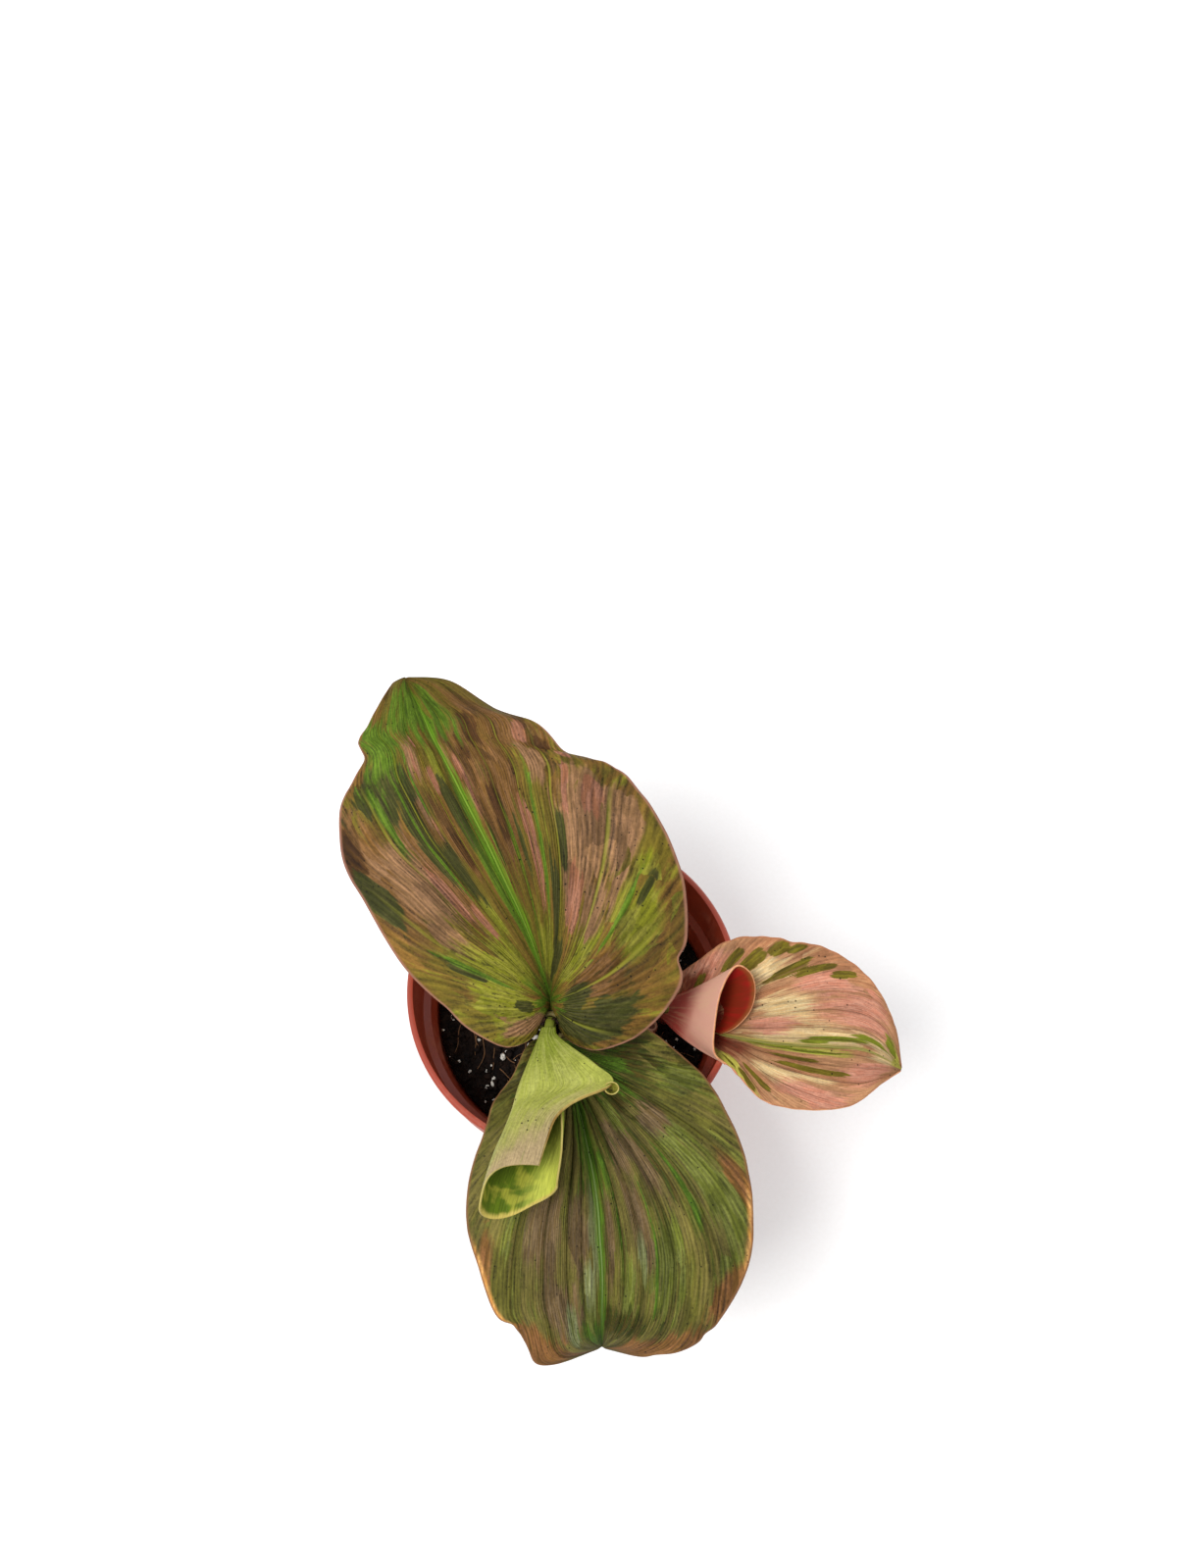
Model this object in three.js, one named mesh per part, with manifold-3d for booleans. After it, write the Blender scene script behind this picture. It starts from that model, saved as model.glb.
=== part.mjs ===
// A variegated peacock ginger growing in its round nursery pot.
// Millimetres, +Z up. The origin is the centre of the pot's base, and the plant's front faces -Y.
import * as THREE from 'three';
import { mergeVertices } from 'three/addons/utils/BufferGeometryUtils.js';
import Module from 'manifold-3d';

const wasm = await Module();
wasm.setup();

// Pot
const RIM_RADIUS = 42.5;
const RIM_HEIGHT = 68;
const LIP_WIDTH = 1.5;
const WALL = 1.2;
const COLLAR_BOTTOM = 51;
const COLLAR_INNER_RADIUS = 40.2;
const BODY_TOP_INNER_RADIUS = 38.3;
const BASE_INNER_RADIUS = 28.2;
const FLOOR = 1.8;
const DRAIN_RING_RADIUS = 21;
const DRAIN_HOLE_RADIUS = 2.6;
const DRAIN_HOLES = 6;
const POT_SIDES = 48;

// Soil
const SOIL_LEVEL = 46;
const CRUMB_HEIGHT = 0.9;
const SOIL_RINGS = 9;
const SOIL_SIDES = 36;

// Fit between neighbours, and the clear width all round a stem in its hole
const GAP = 0.3;
const HOLE_GAP = 0.6;

// Plant
const BLADE_THICKNESS = 0.8;
const HOLE_BOTTOM = 36;
const STALK_RADIUS = 1.3;
const SHEATH_RADIUS = 2.5;
const SHEATH_THICKNESS = 1.1;
const MAIN_SHOOT = [-5, -11.5];
const SECOND_SHOOT = [24.5, -3];
const SECOND_STALK_RADIUS = 2.1;
const STUB_PLACE = [20.8, -6.2];
const STUB_RADIUS = 1.6;
const STUB_TOP = 49.5;

// Each blade has a midrib and two margins, all from the base to the tip. Points of one index lie on one
// line across the blade, so the lines between them are the veins.
const BACK_BLADE = {
  midrib: [
    [-5.5, -8.6, 75], [-5.5, -7, 78], [-6, -5, 81.5], [-7.5, -1.5, 85], [-9.5, 3.5, 89], [-12.5, 10, 93],
    [-16.5, 17.5, 97], [-21, 26, 101], [-26, 35, 104], [-29, 40.5, 106], [-32, 46, 107],
    [-34.5, 50.5, 108], [-36.5, 55, 108.5], [-38.5, 59, 108.5], [-40.5, 63, 108], [-42, 67, 107.5],
  ],
  left: [
    [-8.4, -10, 75], [-9.4, -15.5, 75.8], [-16, -18.5, 76.5], [-24.5, -15, 78], [-33, -8, 80],
    [-42, 0.5, 84], [-50.5, 13.5, 89], [-56, 23, 94], [-56.5, 33.5, 99], [-54.5, 39.5, 101.5],
    [-51.5, 46, 104], [-52.5, 50, 105], [-50, 54.5, 106.5], [-47, 60.5, 107.5], [-45, 65, 107.8],
    [-42, 67, 107.5],
  ],
  right: [
    [-2.6, -10, 75], [-2, -15.5, 75.8], [5.5, -19.5, 77], [15.5, -16.5, 79], [24, -8.5, 82],
    [27.5, 3, 87], [27.5, 17, 92], [23.5, 27, 97], [17.5, 37, 100.5], [12, 43, 103], [5, 45.5, 103.5],
    [-2, 48, 104], [-8, 53.5, 106.5], [-19, 58.5, 106.5], [-30.5, 65.5, 108], [-42, 67, 107.5],
  ],
  bulge: 2.6,
  ribs: 4,
  ribDepth: 0.9,
  waves: 6,
  waveHeight: 0.8,
};

const FRONT_BLADE = {
  midrib: [
    [-4.6, -14.6, 66], [-3.5, -17.5, 69], [-2, -22.5, 71.5], [0, -28, 73.5], [2, -34.5, 75],
    [3.5, -41.5, 76], [5, -48.5, 76.5], [6, -55.5, 76.5], [6.5, -62.5, 75.5], [7, -69, 73.5],
    [7, -76, 70.5], [7, -80.5, 66], [7, -84.5, 59],
  ],
  left: [
    [-6.5, -14.6, 66], [-9.5, -14.5, 67], [-12, -17.5, 68.5], [-14.5, -24, 70], [-19, -30.5, 71],
    [-21, -38.5, 71.5], [-24, -48, 71.5], [-24.5, -58, 70.5], [-21.5, -67.5, 69], [-17.5, -77.5, 66.5],
    [-12, -81.5, 65], [-6, -88, 62], [7, -84.5, 59],
  ],
  right: [
    [-2.8, -14.6, 66], [5.5, -9.5, 67], [16, -11, 68], [24.5, -17, 70], [31, -23.5, 71.5],
    [36, -31.5, 72], [40.5, -42, 72.5], [42, -53.5, 72], [41, -66.5, 70], [35, -77.5, 67], [28, -84, 65],
    [18, -86.5, 62], [7, -84.5, 59],
  ],
  bulge: 2.2,
  ribs: 4,
  ribDepth: 1.1,
  waves: 5,
  waveHeight: 0.7,
};

const PINK_BLADE = {
  midrib: [
    [23.5, -4.5, 61], [28, -8.5, 66], [32.5, -11.5, 70], [36.5, -14.5, 73], [41.5, -16, 75],
    [47.5, -17.5, 77], [55, -18.5, 78.5], [62.5, -19, 79], [69.5, -19.5, 79], [75, -21.5, 78],
    [79.5, -24, 76.5],
  ],
  left: [
    [25, -2, 62], [26.5, 1.5, 68], [32, 4.5, 74], [39, 8, 79], [46.5, 7.5, 82], [54.5, 6.5, 83],
    [62.5, 4.5, 83], [69.5, 0, 82], [75, -6, 80.5], [78.5, -14, 78.5], [79.5, -24, 76.5],
  ],
  right: [
    [22.5, -6.5, 60], [26.5, -12, 64], [31.5, -17, 68], [37.5, -21.5, 71.5], [41, -25.5, 73],
    [45.5, -30.5, 74], [52, -33, 75], [60, -33.5, 76], [67.5, -32, 76.5], [74, -27.5, 76.5],
    [79.5, -24, 76.5],
  ],
  bulge: -1.6,
  ribs: 3,
  ribDepth: 0.5,
  waves: 3,
  waveHeight: 0.6,
};

// The near half of the pink blade is rolled over its midrib near the base, as a funnel. Its mouth runs
// from the near margin over the front, the top and the far wall, and back down to the midrib.
const FUNNEL_MOUTH = [
  [34.5, -19.5, 75.5], [34.5, -14, 79], [36, -6.5, 83], [39.5, -1, 85.5], [43, -2, 84.5],
  [44.5, -5.5, 82], [43.5, -10, 79], [40, -13.5, 76],
];
const FUNNEL_CENTRE = [39.7, -9, 79.5];
const FUNNEL_ROOT = [23.6, -4.4, 61.5];
const FUNNEL_ROOT_SCALE = 0.2;
const FUNNEL_BLADE_SHARE = 0.3;
const FUNNEL_FLARE = 1.3;

// The furled leaf is a roll along an axis, with its outer flap lying over it to the right.
const FURL_AXIS = [
  [-5.5, -12.3, 76.5], [-6, -17.5, 80], [-6.5, -24, 83.5], [-7, -31, 86.5], [-7.5, -37, 88.5],
  [-9, -43, 90], [-11, -49.5, 91], [-12, -54.5, 91.5], [-13.5, -61, 91],
];
const FURL_HALF_WIDTH = [1.5, 2.1, 3.6, 5.3, 6.1, 6.4, 6.8, 7.2, 7];
const FURL_FLATNESS = 0.72;
const FURL_START = 0.06;
const FURL_INNER_ANGLE = 50;
const FLAP_MARGIN = [
  [-4.2, -14.5, 79.5], [-3.6, -17, 82], [0, -20.5, 84.5], [5.5, -25, 87], [9.5, -29.5, 88.5], [1, -34, 91.5],
  [-3.5, -38, 93.5], [-5.5, -43.5, 95], [-7, -49, 95.8],
];
const FLAP_LIFT = 1.8;
// Share of the axis that the roll reaches, from its hidden inner edge, over the right, under side and
// left fold, to the flap's margin
const FURL_REACH = [0.8, 0.87, 0.96, 0.99, 0.96, 0.86, 0.8, 0.77, 0.75];
const FURL_WRAP = 0.5;
const CURL_CENTRE = [9.5, -31.2, 88.2];
const CURL_RADIUS = 1.5;
const CURL_HEIGHT = 2.6;

const point = (xyz) => new THREE.Vector3(...xyz);
const curve = (points) => new THREE.CatmullRomCurve3(points.map(point), false, 'catmullrom', 0.5);
const along = (values, share) => curve(values.map((value) => [value, 0, 0])).getPoint(share).x;
const lerp = THREE.MathUtils.lerp;

// A geometry with one vertex at each place and no triangle of zero area
function welded(positions, triangles) {
  const loose = new THREE.BufferGeometry();
  loose.setAttribute('position', new THREE.Float32BufferAttribute(positions.flat(), 3));
  loose.setIndex(triangles.flat());
  const merged = mergeVertices(loose, 1e-4);
  const index = [];
  const source = merged.index.array;
  for (let i = 0; i < source.length; i += 3) {
    const [a, b, c] = [source[i], source[i + 1], source[i + 2]];
    if (a !== b && b !== c && c !== a) {
      index.push(a, b, c);
    }
  }
  merged.setIndex(index);
  return merged;
}

function toManifold(geometry) {
  return new wasm.Manifold(new wasm.Mesh({
    numProp: 3,
    vertProperties: new Float32Array(geometry.attributes.position.array),
    triVerts: new Uint32Array(geometry.index.array),
  }));
}

function fromManifold(manifold) {
  const mesh = manifold.getMesh();
  const geometry = new THREE.BufferGeometry();
  geometry.setAttribute('position', new THREE.Float32BufferAttribute(mesh.vertProperties, 3));
  geometry.setIndex(Array.from(mesh.triVerts));
  return geometry;
}

// One body from several: hollows that the joining seals are filled, and loose scraps are dropped
function join(...geometries) {
  const whole = geometries.map(toManifold).reduce((joined, piece) => joined.add(piece));
  const bodies = whole.decompose().sort((a, b) => b.volume() - a.volume());
  return fromManifold(bodies[0]);
}

function cut(geometry, ...tools) {
  const solids = tools.map(toManifold);
  return fromManifold(solids.reduce((whole, tool) => whole.subtract(tool), toManifold(geometry)));
}

// Triangles of a grid of vertices, row by row, starting at vertex number first
function gridTriangles(rows, columns, first, flip) {
  const triangles = [];
  for (let i = 0; i < rows; i++) {
    for (let j = 0; j < columns; j++) {
      const a = first + i * (columns + 1) + j;
      const b = a + 1;
      const c = a + columns + 1;
      const d = c + 1;
      const pair = [[a, b, d], [a, d, c]];
      triangles.push(...(flip ? pair.map((corners) => corners.reverse()) : pair));
    }
  }
  return triangles;
}

// A closed sheet of even thickness about the surface place(u, v), split alike on both faces. A pointed
// sheet ends in one point at u = 1.
function sheet(place, rows, columns, thickness, pointed = false) {
  const step = 0.004;
  const upper = [];
  const lower = [];
  for (let i = 0; i <= rows; i++) {
    for (let j = 0; j <= columns; j++) {
      const u = i / rows;
      const v = pointed && i === rows ? 0.5 : j / columns;
      const nearU = THREE.MathUtils.clamp(u, 0.012, pointed ? 0.97 : 0.988);
      const nearV = THREE.MathUtils.clamp(v, step, 1 - step);
      const alongU = place(nearU + step, nearV).sub(place(nearU - step, nearV));
      const alongV = place(nearU, nearV + step).sub(place(nearU, nearV - step));
      const normal = alongU.cross(alongV).normalize();
      const middle = place(u, v);
      upper.push(middle.clone().addScaledVector(normal, thickness / 2).toArray());
      lower.push(middle.clone().addScaledVector(normal, -thickness / 2).toArray());
    }
  }
  const count = upper.length;
  const triangles = [...gridTriangles(rows, columns, 0, true), ...gridTriangles(rows, columns, count, false)];
  const border = [];
  for (let j = 0; j < columns; j++) {
    border.push(j);
  }
  for (let i = 0; i < rows; i++) {
    border.push(i * (columns + 1) + columns);
  }
  for (let j = columns; j > 0; j--) {
    border.push(rows * (columns + 1) + j);
  }
  for (let i = rows; i > 0; i--) {
    border.push(i * (columns + 1));
  }
  border.forEach((a, k) => {
    const b = border[(k + 1) % border.length];
    triangles.push([a, b, b + count], [a, b + count, a + count]);
  });
  return welded([...upper, ...lower], triangles);
}

// A closed solid through rings of equal count, with flat ends
function loft(rings) {
  const sides = rings[0].length;
  const positions = rings.flat().map((p) => p.toArray());
  const triangles = [];
  for (let i = 0; i < rings.length - 1; i++) {
    for (let j = 0; j < sides; j++) {
      const a = i * sides + j;
      const b = i * sides + (j + 1) % sides;
      triangles.push([a, b, b + sides], [a, b + sides, a + sides]);
    }
  }
  const last = (rings.length - 1) * sides;
  for (let j = 1; j < sides - 1; j++) {
    triangles.push([0, j + 1, j], [last, last + j, last + j + 1]);
  }
  return welded(positions, triangles);
}

// A round stalk along a line, with its radius from first to last
function stalk(points, radii, steps, sides) {
  const line = curve(points);
  const rings = [];
  for (let i = 0; i <= steps; i++) {
    const centre = line.getPoint(i / steps);
    const tangent = line.getTangent(i / steps);
    const across = new THREE.Vector3(1, 0, 0).addScaledVector(tangent, -tangent.x).normalize();
    const side = new THREE.Vector3().crossVectors(tangent, across);
    const radius = along(radii, i / steps);
    rings.push(Array.from({ length: sides }, (_, j) => {
      const angle = (2 * Math.PI * j) / sides;
      return centre.clone()
        .addScaledVector(across, radius * Math.cos(angle))
        .addScaledVector(side, radius * Math.sin(angle));
    }));
  }
  return loft(rings);
}

function upright(radius, bottom, top, [x, y], sides = 24) {
  const geometry = new THREE.CylinderGeometry(radius, radius, top - bottom, sides);
  geometry.rotateX(Math.PI / 2);
  geometry.translate(x, y, (top + bottom) / 2);
  geometry.deleteAttribute('normal');
  geometry.deleteAttribute('uv');
  return mergeVertices(geometry, 1e-4);
}

// Surface of a blade: u runs from the base to the tip, v from the left margin over the midrib to the right
function bladeSurface({ midrib, left, right, bulge, ribs, ribDepth, waves, waveHeight }) {
  const midLine = curve(midrib);
  const edges = [curve(left), curve(right)];
  return (u, v) => {
    const out = Math.abs(2 * v - 1);
    const edge = edges[v < 0.5 ? 0 : 1];
    const place = midLine.getPoint(u).lerp(edge.getPoint(u), out);
    const fade = Math.sin(Math.PI * THREE.MathUtils.clamp(u, 0, 1)) ** 0.8;
    const groove = (1 - Math.cos(2 * Math.PI * ribs * out)) / 2;
    const phase = v < 0.5 ? 0.6 : 2.2;
    const wave = Math.sin(2 * Math.PI * waves * u + phase) * out ** 3;
    place.z += fade * (4 * bulge * out * (1 - out) + ribDepth * groove + waveHeight * wave);
    return place;
  };
}

// Half of a sheath round the shoot's middle stalk, from its foot up to height top
function sheath(firstAngle, lastAngle, top) {
  const foot = point([...MAIN_SHOOT, HOLE_BOTTOM + GAP]);
  const head = point([FURL_AXIS[0][0], FURL_AXIS[0][1], top]);
  const surface = (u, v) => {
    const centre = foot.clone().lerp(head, u);
    const angle = THREE.MathUtils.degToRad(lerp(firstAngle, lastAngle, v));
    centre.x += SHEATH_RADIUS * Math.cos(angle);
    centre.y += SHEATH_RADIUS * Math.sin(angle);
    return centre;
  };
  return sheet(surface, 4, 10, SHEATH_THICKNESS);
}

// The roll of the furled leaf: u from its foot to its mouth, v from the hidden inner edge round to the flap
function furlSurface() {
  const axis = curve(FURL_AXIS);
  const margin = curve(FLAP_MARGIN);
  const rolled = (s, degrees, size) => {
    const tangent = axis.getTangent(s);
    const right = new THREE.Vector3(1, 0, 0).addScaledVector(tangent, -tangent.x).normalize();
    const up = new THREE.Vector3().crossVectors(tangent, right);
    const half = along(FURL_HALF_WIDTH, s) * size;
    const angle = THREE.MathUtils.degToRad(degrees);
    return axis.getPoint(s)
      .addScaledVector(right, half * Math.cos(angle))
      .addScaledVector(up, half * FURL_FLATNESS * Math.sin(angle));
  };
  return (u, v) => {
    const s = Math.min(lerp(FURL_START, along(FURL_REACH, v), u), 1);
    if (v <= FURL_WRAP) {
      const turn = v / FURL_WRAP;
      return rolled(s, lerp(FURL_INNER_ANGLE, -180, turn), lerp(0.8, 1, turn));
    }
    const fold = rolled(s, -180, 1);
    const end = margin.getPoint(u);
    const shoulder = new THREE.Vector3(fold.x, (fold.y + end.y) / 2, end.z + FLAP_LIFT);
    return new THREE.QuadraticBezierCurve3(fold, shoulder, end).getPoint((v - FURL_WRAP) / (1 - FURL_WRAP));
  };
}

function curlSurface(u, v) {
  const angle = THREE.MathUtils.degToRad(lerp(150, -160, v));
  const radius = CURL_RADIUS * lerp(0.75, 1, u);
  return new THREE.Vector3(
    CURL_CENTRE[0] + radius * Math.cos(angle),
    CURL_CENTRE[1] + radius * Math.sin(angle),
    CURL_CENTRE[2] + CURL_HEIGHT * (u - 0.5),
  );
}

// The funnel: u from its root to its mouth, v from the near margin round to the midrib
function funnelSurface() {
  const nearMargin = curve(PINK_BLADE.right);
  const midrib = curve(PINK_BLADE.midrib);
  const centre = point(FUNNEL_CENTRE);
  return (u, v) => {
    const middle = point(FUNNEL_ROOT).lerp(centre, u);
    const size = lerp(FUNNEL_ROOT_SCALE, 1, u ** FUNNEL_FLARE);
    const ring = FUNNEL_MOUTH.map((xyz) => point(xyz).sub(centre).multiplyScalar(size).add(middle));
    const first = nearMargin.getPoint(u * FUNNEL_BLADE_SHARE);
    const last = midrib.getPoint(u * FUNNEL_BLADE_SHARE);
    const all = [first, ...ring, last];
    return new THREE.CatmullRomCurve3(all, false, 'catmullrom', 0.5).getPoint(v);
  };
}

// Steady made-up heights for the crumbs of the soil
function crumbHeight(x, y) {
  const coarse = Math.sin(0.55 * x + 1.3) * Math.cos(0.49 * y - 0.4);
  const fine = Math.sin(1.31 * x - 0.8 * y) * Math.cos(1.17 * y + 0.6 * x);
  return CRUMB_HEIGHT * (0.6 * coarse + 0.5 * fine);
}

function makePot() {
  const lipInner = RIM_RADIUS - LIP_WIDTH;
  const profile = [
    [0, 0], [BASE_INNER_RADIUS + WALL, 0], [BODY_TOP_INNER_RADIUS + WALL, COLLAR_BOTTOM - 1],
    [COLLAR_INNER_RADIUS + WALL, COLLAR_BOTTOM], [lipInner + WALL * 0.9, RIM_HEIGHT - 3],
    [RIM_RADIUS, RIM_HEIGHT - 2.2], [RIM_RADIUS, RIM_HEIGHT - 0.5], [RIM_RADIUS - 0.5, RIM_HEIGHT],
    [lipInner, RIM_HEIGHT], [COLLAR_INNER_RADIUS, COLLAR_BOTTOM + 1], [BODY_TOP_INNER_RADIUS, COLLAR_BOTTOM],
    [BASE_INNER_RADIUS, FLOOR], [0, FLOOR],
  ];
  const body = new THREE.LatheGeometry(profile.map(([r, z]) => new THREE.Vector2(r, z)), POT_SIDES);
  body.rotateX(Math.PI / 2);
  const positions = [];
  for (let i = 0; i < body.attributes.position.count; i++) {
    positions.push(new THREE.Vector3().fromBufferAttribute(body.attributes.position, i).toArray());
  }
  const source = Array.from(body.index.array);
  const triangles = [];
  for (let i = 0; i < source.length; i += 3) {
    triangles.push(source.slice(i, i + 3));
  }
  const holes = Array.from({ length: DRAIN_HOLES }, (_, k) => {
    const angle = (2 * Math.PI * (k + 0.5)) / DRAIN_HOLES;
    const place = [DRAIN_RING_RADIUS * Math.cos(angle), DRAIN_RING_RADIUS * Math.sin(angle)];
    return upright(DRAIN_HOLE_RADIUS, -1, FLOOR + 1, place, 16);
  });
  return cut(welded(positions, triangles), ...holes);
}

function makeSoil() {
  const slope = (BODY_TOP_INNER_RADIUS - BASE_INNER_RADIUS) / (COLLAR_BOTTOM - FLOOR);
  const sideRadius = (z) => BASE_INNER_RADIUS + slope * (z - FLOOR) - GAP;
  const rings = [];
  const ring = (radius, height) => Array.from({ length: SOIL_SIDES }, (_, j) => {
    const angle = (2 * Math.PI * j) / SOIL_SIDES;
    const [x, y] = [radius * Math.cos(angle), radius * Math.sin(angle)];
    return new THREE.Vector3(x, y, height(x, y));
  });
  rings.push(ring(sideRadius(FLOOR + GAP), () => FLOOR + GAP));
  const edge = sideRadius(SOIL_LEVEL - 1.5);
  rings.push(ring(edge, () => SOIL_LEVEL - 1.5));
  for (let i = SOIL_RINGS; i > 0; i--) {
    const radius = (edge - 0.6) * (i / SOIL_RINGS);
    rings.push(ring(radius, (x, y) => SOIL_LEVEL + crumbHeight(x, y)));
  }
  const holes = [
    upright(SHEATH_RADIUS + SHEATH_THICKNESS / 2 + HOLE_GAP, HOLE_BOTTOM, SOIL_LEVEL + 5, MAIN_SHOOT),
    upright(SECOND_STALK_RADIUS + HOLE_GAP, HOLE_BOTTOM, SOIL_LEVEL + 5, SECOND_SHOOT),
    upright(STUB_RADIUS + HOLE_GAP, HOLE_BOTTOM, SOIL_LEVEL + 5, STUB_PLACE, 16),
  ];
  return cut(loft(rings), ...holes);
}

function makeBackLeaf() {
  const blade = sheet(bladeSurface(BACK_BLADE), 22, 32, BLADE_THICKNESS, true);
  return join(blade, sheath(8, 172, 75.4));
}

function makeFrontLeaf() {
  const blade = sheet(bladeSurface(FRONT_BLADE), 22, 32, BLADE_THICKNESS, true);
  return join(blade, sheath(190, 350, 67));
}

function makeYoungLeaf() {
  const roll = sheet(furlSurface(), 14, 30, BLADE_THICKNESS);
  const curl = sheet(curlSurface, 2, 12, BLADE_THICKNESS);
  const foot = point([...MAIN_SHOOT, HOLE_BOTTOM + GAP]);
  const lower = [0, 0.5, 0.86].map((share) => foot.clone().lerp(point(FURL_AXIS[0]), share).toArray());
  const line = [...lower, FURL_AXIS[0], FURL_AXIS[1], FURL_AXIS[2]];
  const radii = [STALK_RADIUS, STALK_RADIUS, STALK_RADIUS, STALK_RADIUS, 1.9, 0.7];
  const core = stalk(line, radii, 15, 12);
  return join(roll, curl, core);
}

function makePinkLeaf() {
  const blade = sheet(bladeSurface(PINK_BLADE), 18, 24, BLADE_THICKNESS, true);
  const funnel = sheet(funnelSurface(), 6, 24, BLADE_THICKNESS);
  const line = [
    [...SECOND_SHOOT, HOLE_BOTTOM + GAP], [...SECOND_SHOOT, 44], [...SECOND_SHOOT, 52], FUNNEL_ROOT,
    [26, -6.2, 64],
  ];
  const radii = [SECOND_STALK_RADIUS, SECOND_STALK_RADIUS, SECOND_STALK_RADIUS, 1.9, 1];
  const core = stalk(line, radii, 10, 14);
  return join(blade, funnel, core);
}

function makeStub() {
  const line = [[...STUB_PLACE, HOLE_BOTTOM + GAP], [...STUB_PLACE, 43], [...STUB_PLACE, STUB_TOP]];
  return stalk(line, [STUB_RADIUS, STUB_RADIUS, STUB_RADIUS * 0.95], 4, 14);
}

const group = new THREE.Group();

function add(name, geometry, color, roughness) {
  const mesh = new THREE.Mesh(geometry, new THREE.MeshStandardMaterial({ color, roughness, metalness: 0 }));
  mesh.name = name;
  group.add(mesh);
}

add('pot', makePot(), 0xa8492e, 0.5);
add('soil', makeSoil(), 0x2a2220, 0.95);
add('leaf_back', makeBackLeaf(), 0x6f7a3c, 0.55);
add('leaf_front', makeFrontLeaf(), 0x5f6a45, 0.55);
add('leaf_young', makeYoungLeaf(), 0x9fb25c, 0.5);
add('leaf_pink', makePinkLeaf(), 0xd19a84, 0.5);
add('cut_stub', makeStub(), 0xc79a84, 0.8);

export default group;
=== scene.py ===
# %% [markdown]
# # A potted peacock ginger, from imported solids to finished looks
# The plant stands in a small nursery pot. Four leaves rise from two shoots: a broad one that leans back,
# a broad one that bends over the front of the pot, a young one that is still furled between them, and a
# pink one that is rolled to a funnel at its foot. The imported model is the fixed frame, and each piece
# below is built on one of its solids. The pot, the soil and the stub take their sizes from it, and the
# leaves repeat its lines.

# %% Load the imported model
import math
import random

import bmesh
import bpy
import numpy as np
from mathutils import Matrix, Vector, noise


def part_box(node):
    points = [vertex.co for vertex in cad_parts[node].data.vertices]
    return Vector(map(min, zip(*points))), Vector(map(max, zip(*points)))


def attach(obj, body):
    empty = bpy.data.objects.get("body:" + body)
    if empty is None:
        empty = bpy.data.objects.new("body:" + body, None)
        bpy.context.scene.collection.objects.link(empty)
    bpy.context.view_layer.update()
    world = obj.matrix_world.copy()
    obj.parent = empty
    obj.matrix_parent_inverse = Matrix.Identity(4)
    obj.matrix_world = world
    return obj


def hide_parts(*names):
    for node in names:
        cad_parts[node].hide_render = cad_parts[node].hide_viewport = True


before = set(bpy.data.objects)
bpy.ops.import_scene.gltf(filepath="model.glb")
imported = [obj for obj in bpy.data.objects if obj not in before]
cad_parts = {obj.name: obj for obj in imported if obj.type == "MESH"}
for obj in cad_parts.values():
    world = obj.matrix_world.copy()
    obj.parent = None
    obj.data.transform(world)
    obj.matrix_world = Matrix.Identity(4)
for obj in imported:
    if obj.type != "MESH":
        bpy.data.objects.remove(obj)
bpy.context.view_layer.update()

MM = 0.001
print("solids:", sorted(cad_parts))

# %% [markdown]
# ## Shader maths
# A pattern on a leaf is arithmetic on a few numbers that vary over its surface. Each arithmetic step is a
# Math node, and placing those by hand is slow to write and hard to read. So a small class wraps the
# output of a node, and a plain Python expression on it adds the nodes. Every other node comes from one
# method of the finish.


# %% A wire that can be calculated with
class Wire:
    """The output of a node. Arithmetic on it adds Math nodes to its finish."""

    def __init__(self, finish, socket):
        self.finish = finish
        self.socket = socket

    def math(self, operation, *values):
        return self.finish.node("ShaderNodeMath", {"operation": operation}, dict(enumerate(values)))

    def __add__(self, other):
        return self.math("ADD", self, other)

    def __radd__(self, other):
        return self.math("ADD", other, self)

    def __sub__(self, other):
        return self.math("SUBTRACT", self, other)

    def __rsub__(self, other):
        return self.math("SUBTRACT", other, self)

    def __mul__(self, other):
        return self.math("MULTIPLY", self, other)

    def __rmul__(self, other):
        return self.math("MULTIPLY", other, self)

    def __abs__(self):
        return self.math("ABSOLUTE", self)

    def zigzag(self, height):
        """Rises from 0 to a height and falls back to 0, again and again."""
        return self.math("PINGPONG", self, height)

    def root(self):
        return self.math("SQRT", self)


def colour(code):
    """A colour such as #a0b030 as the linear numbers that shaders use."""
    parts = [int(code[i:i + 2], 16) / 255 for i in (1, 3, 5)]
    return [p / 12.92 if p < 0.04045 else ((p + 0.055) / 1.055) ** 2.4 for p in parts] + [1.0]


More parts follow.
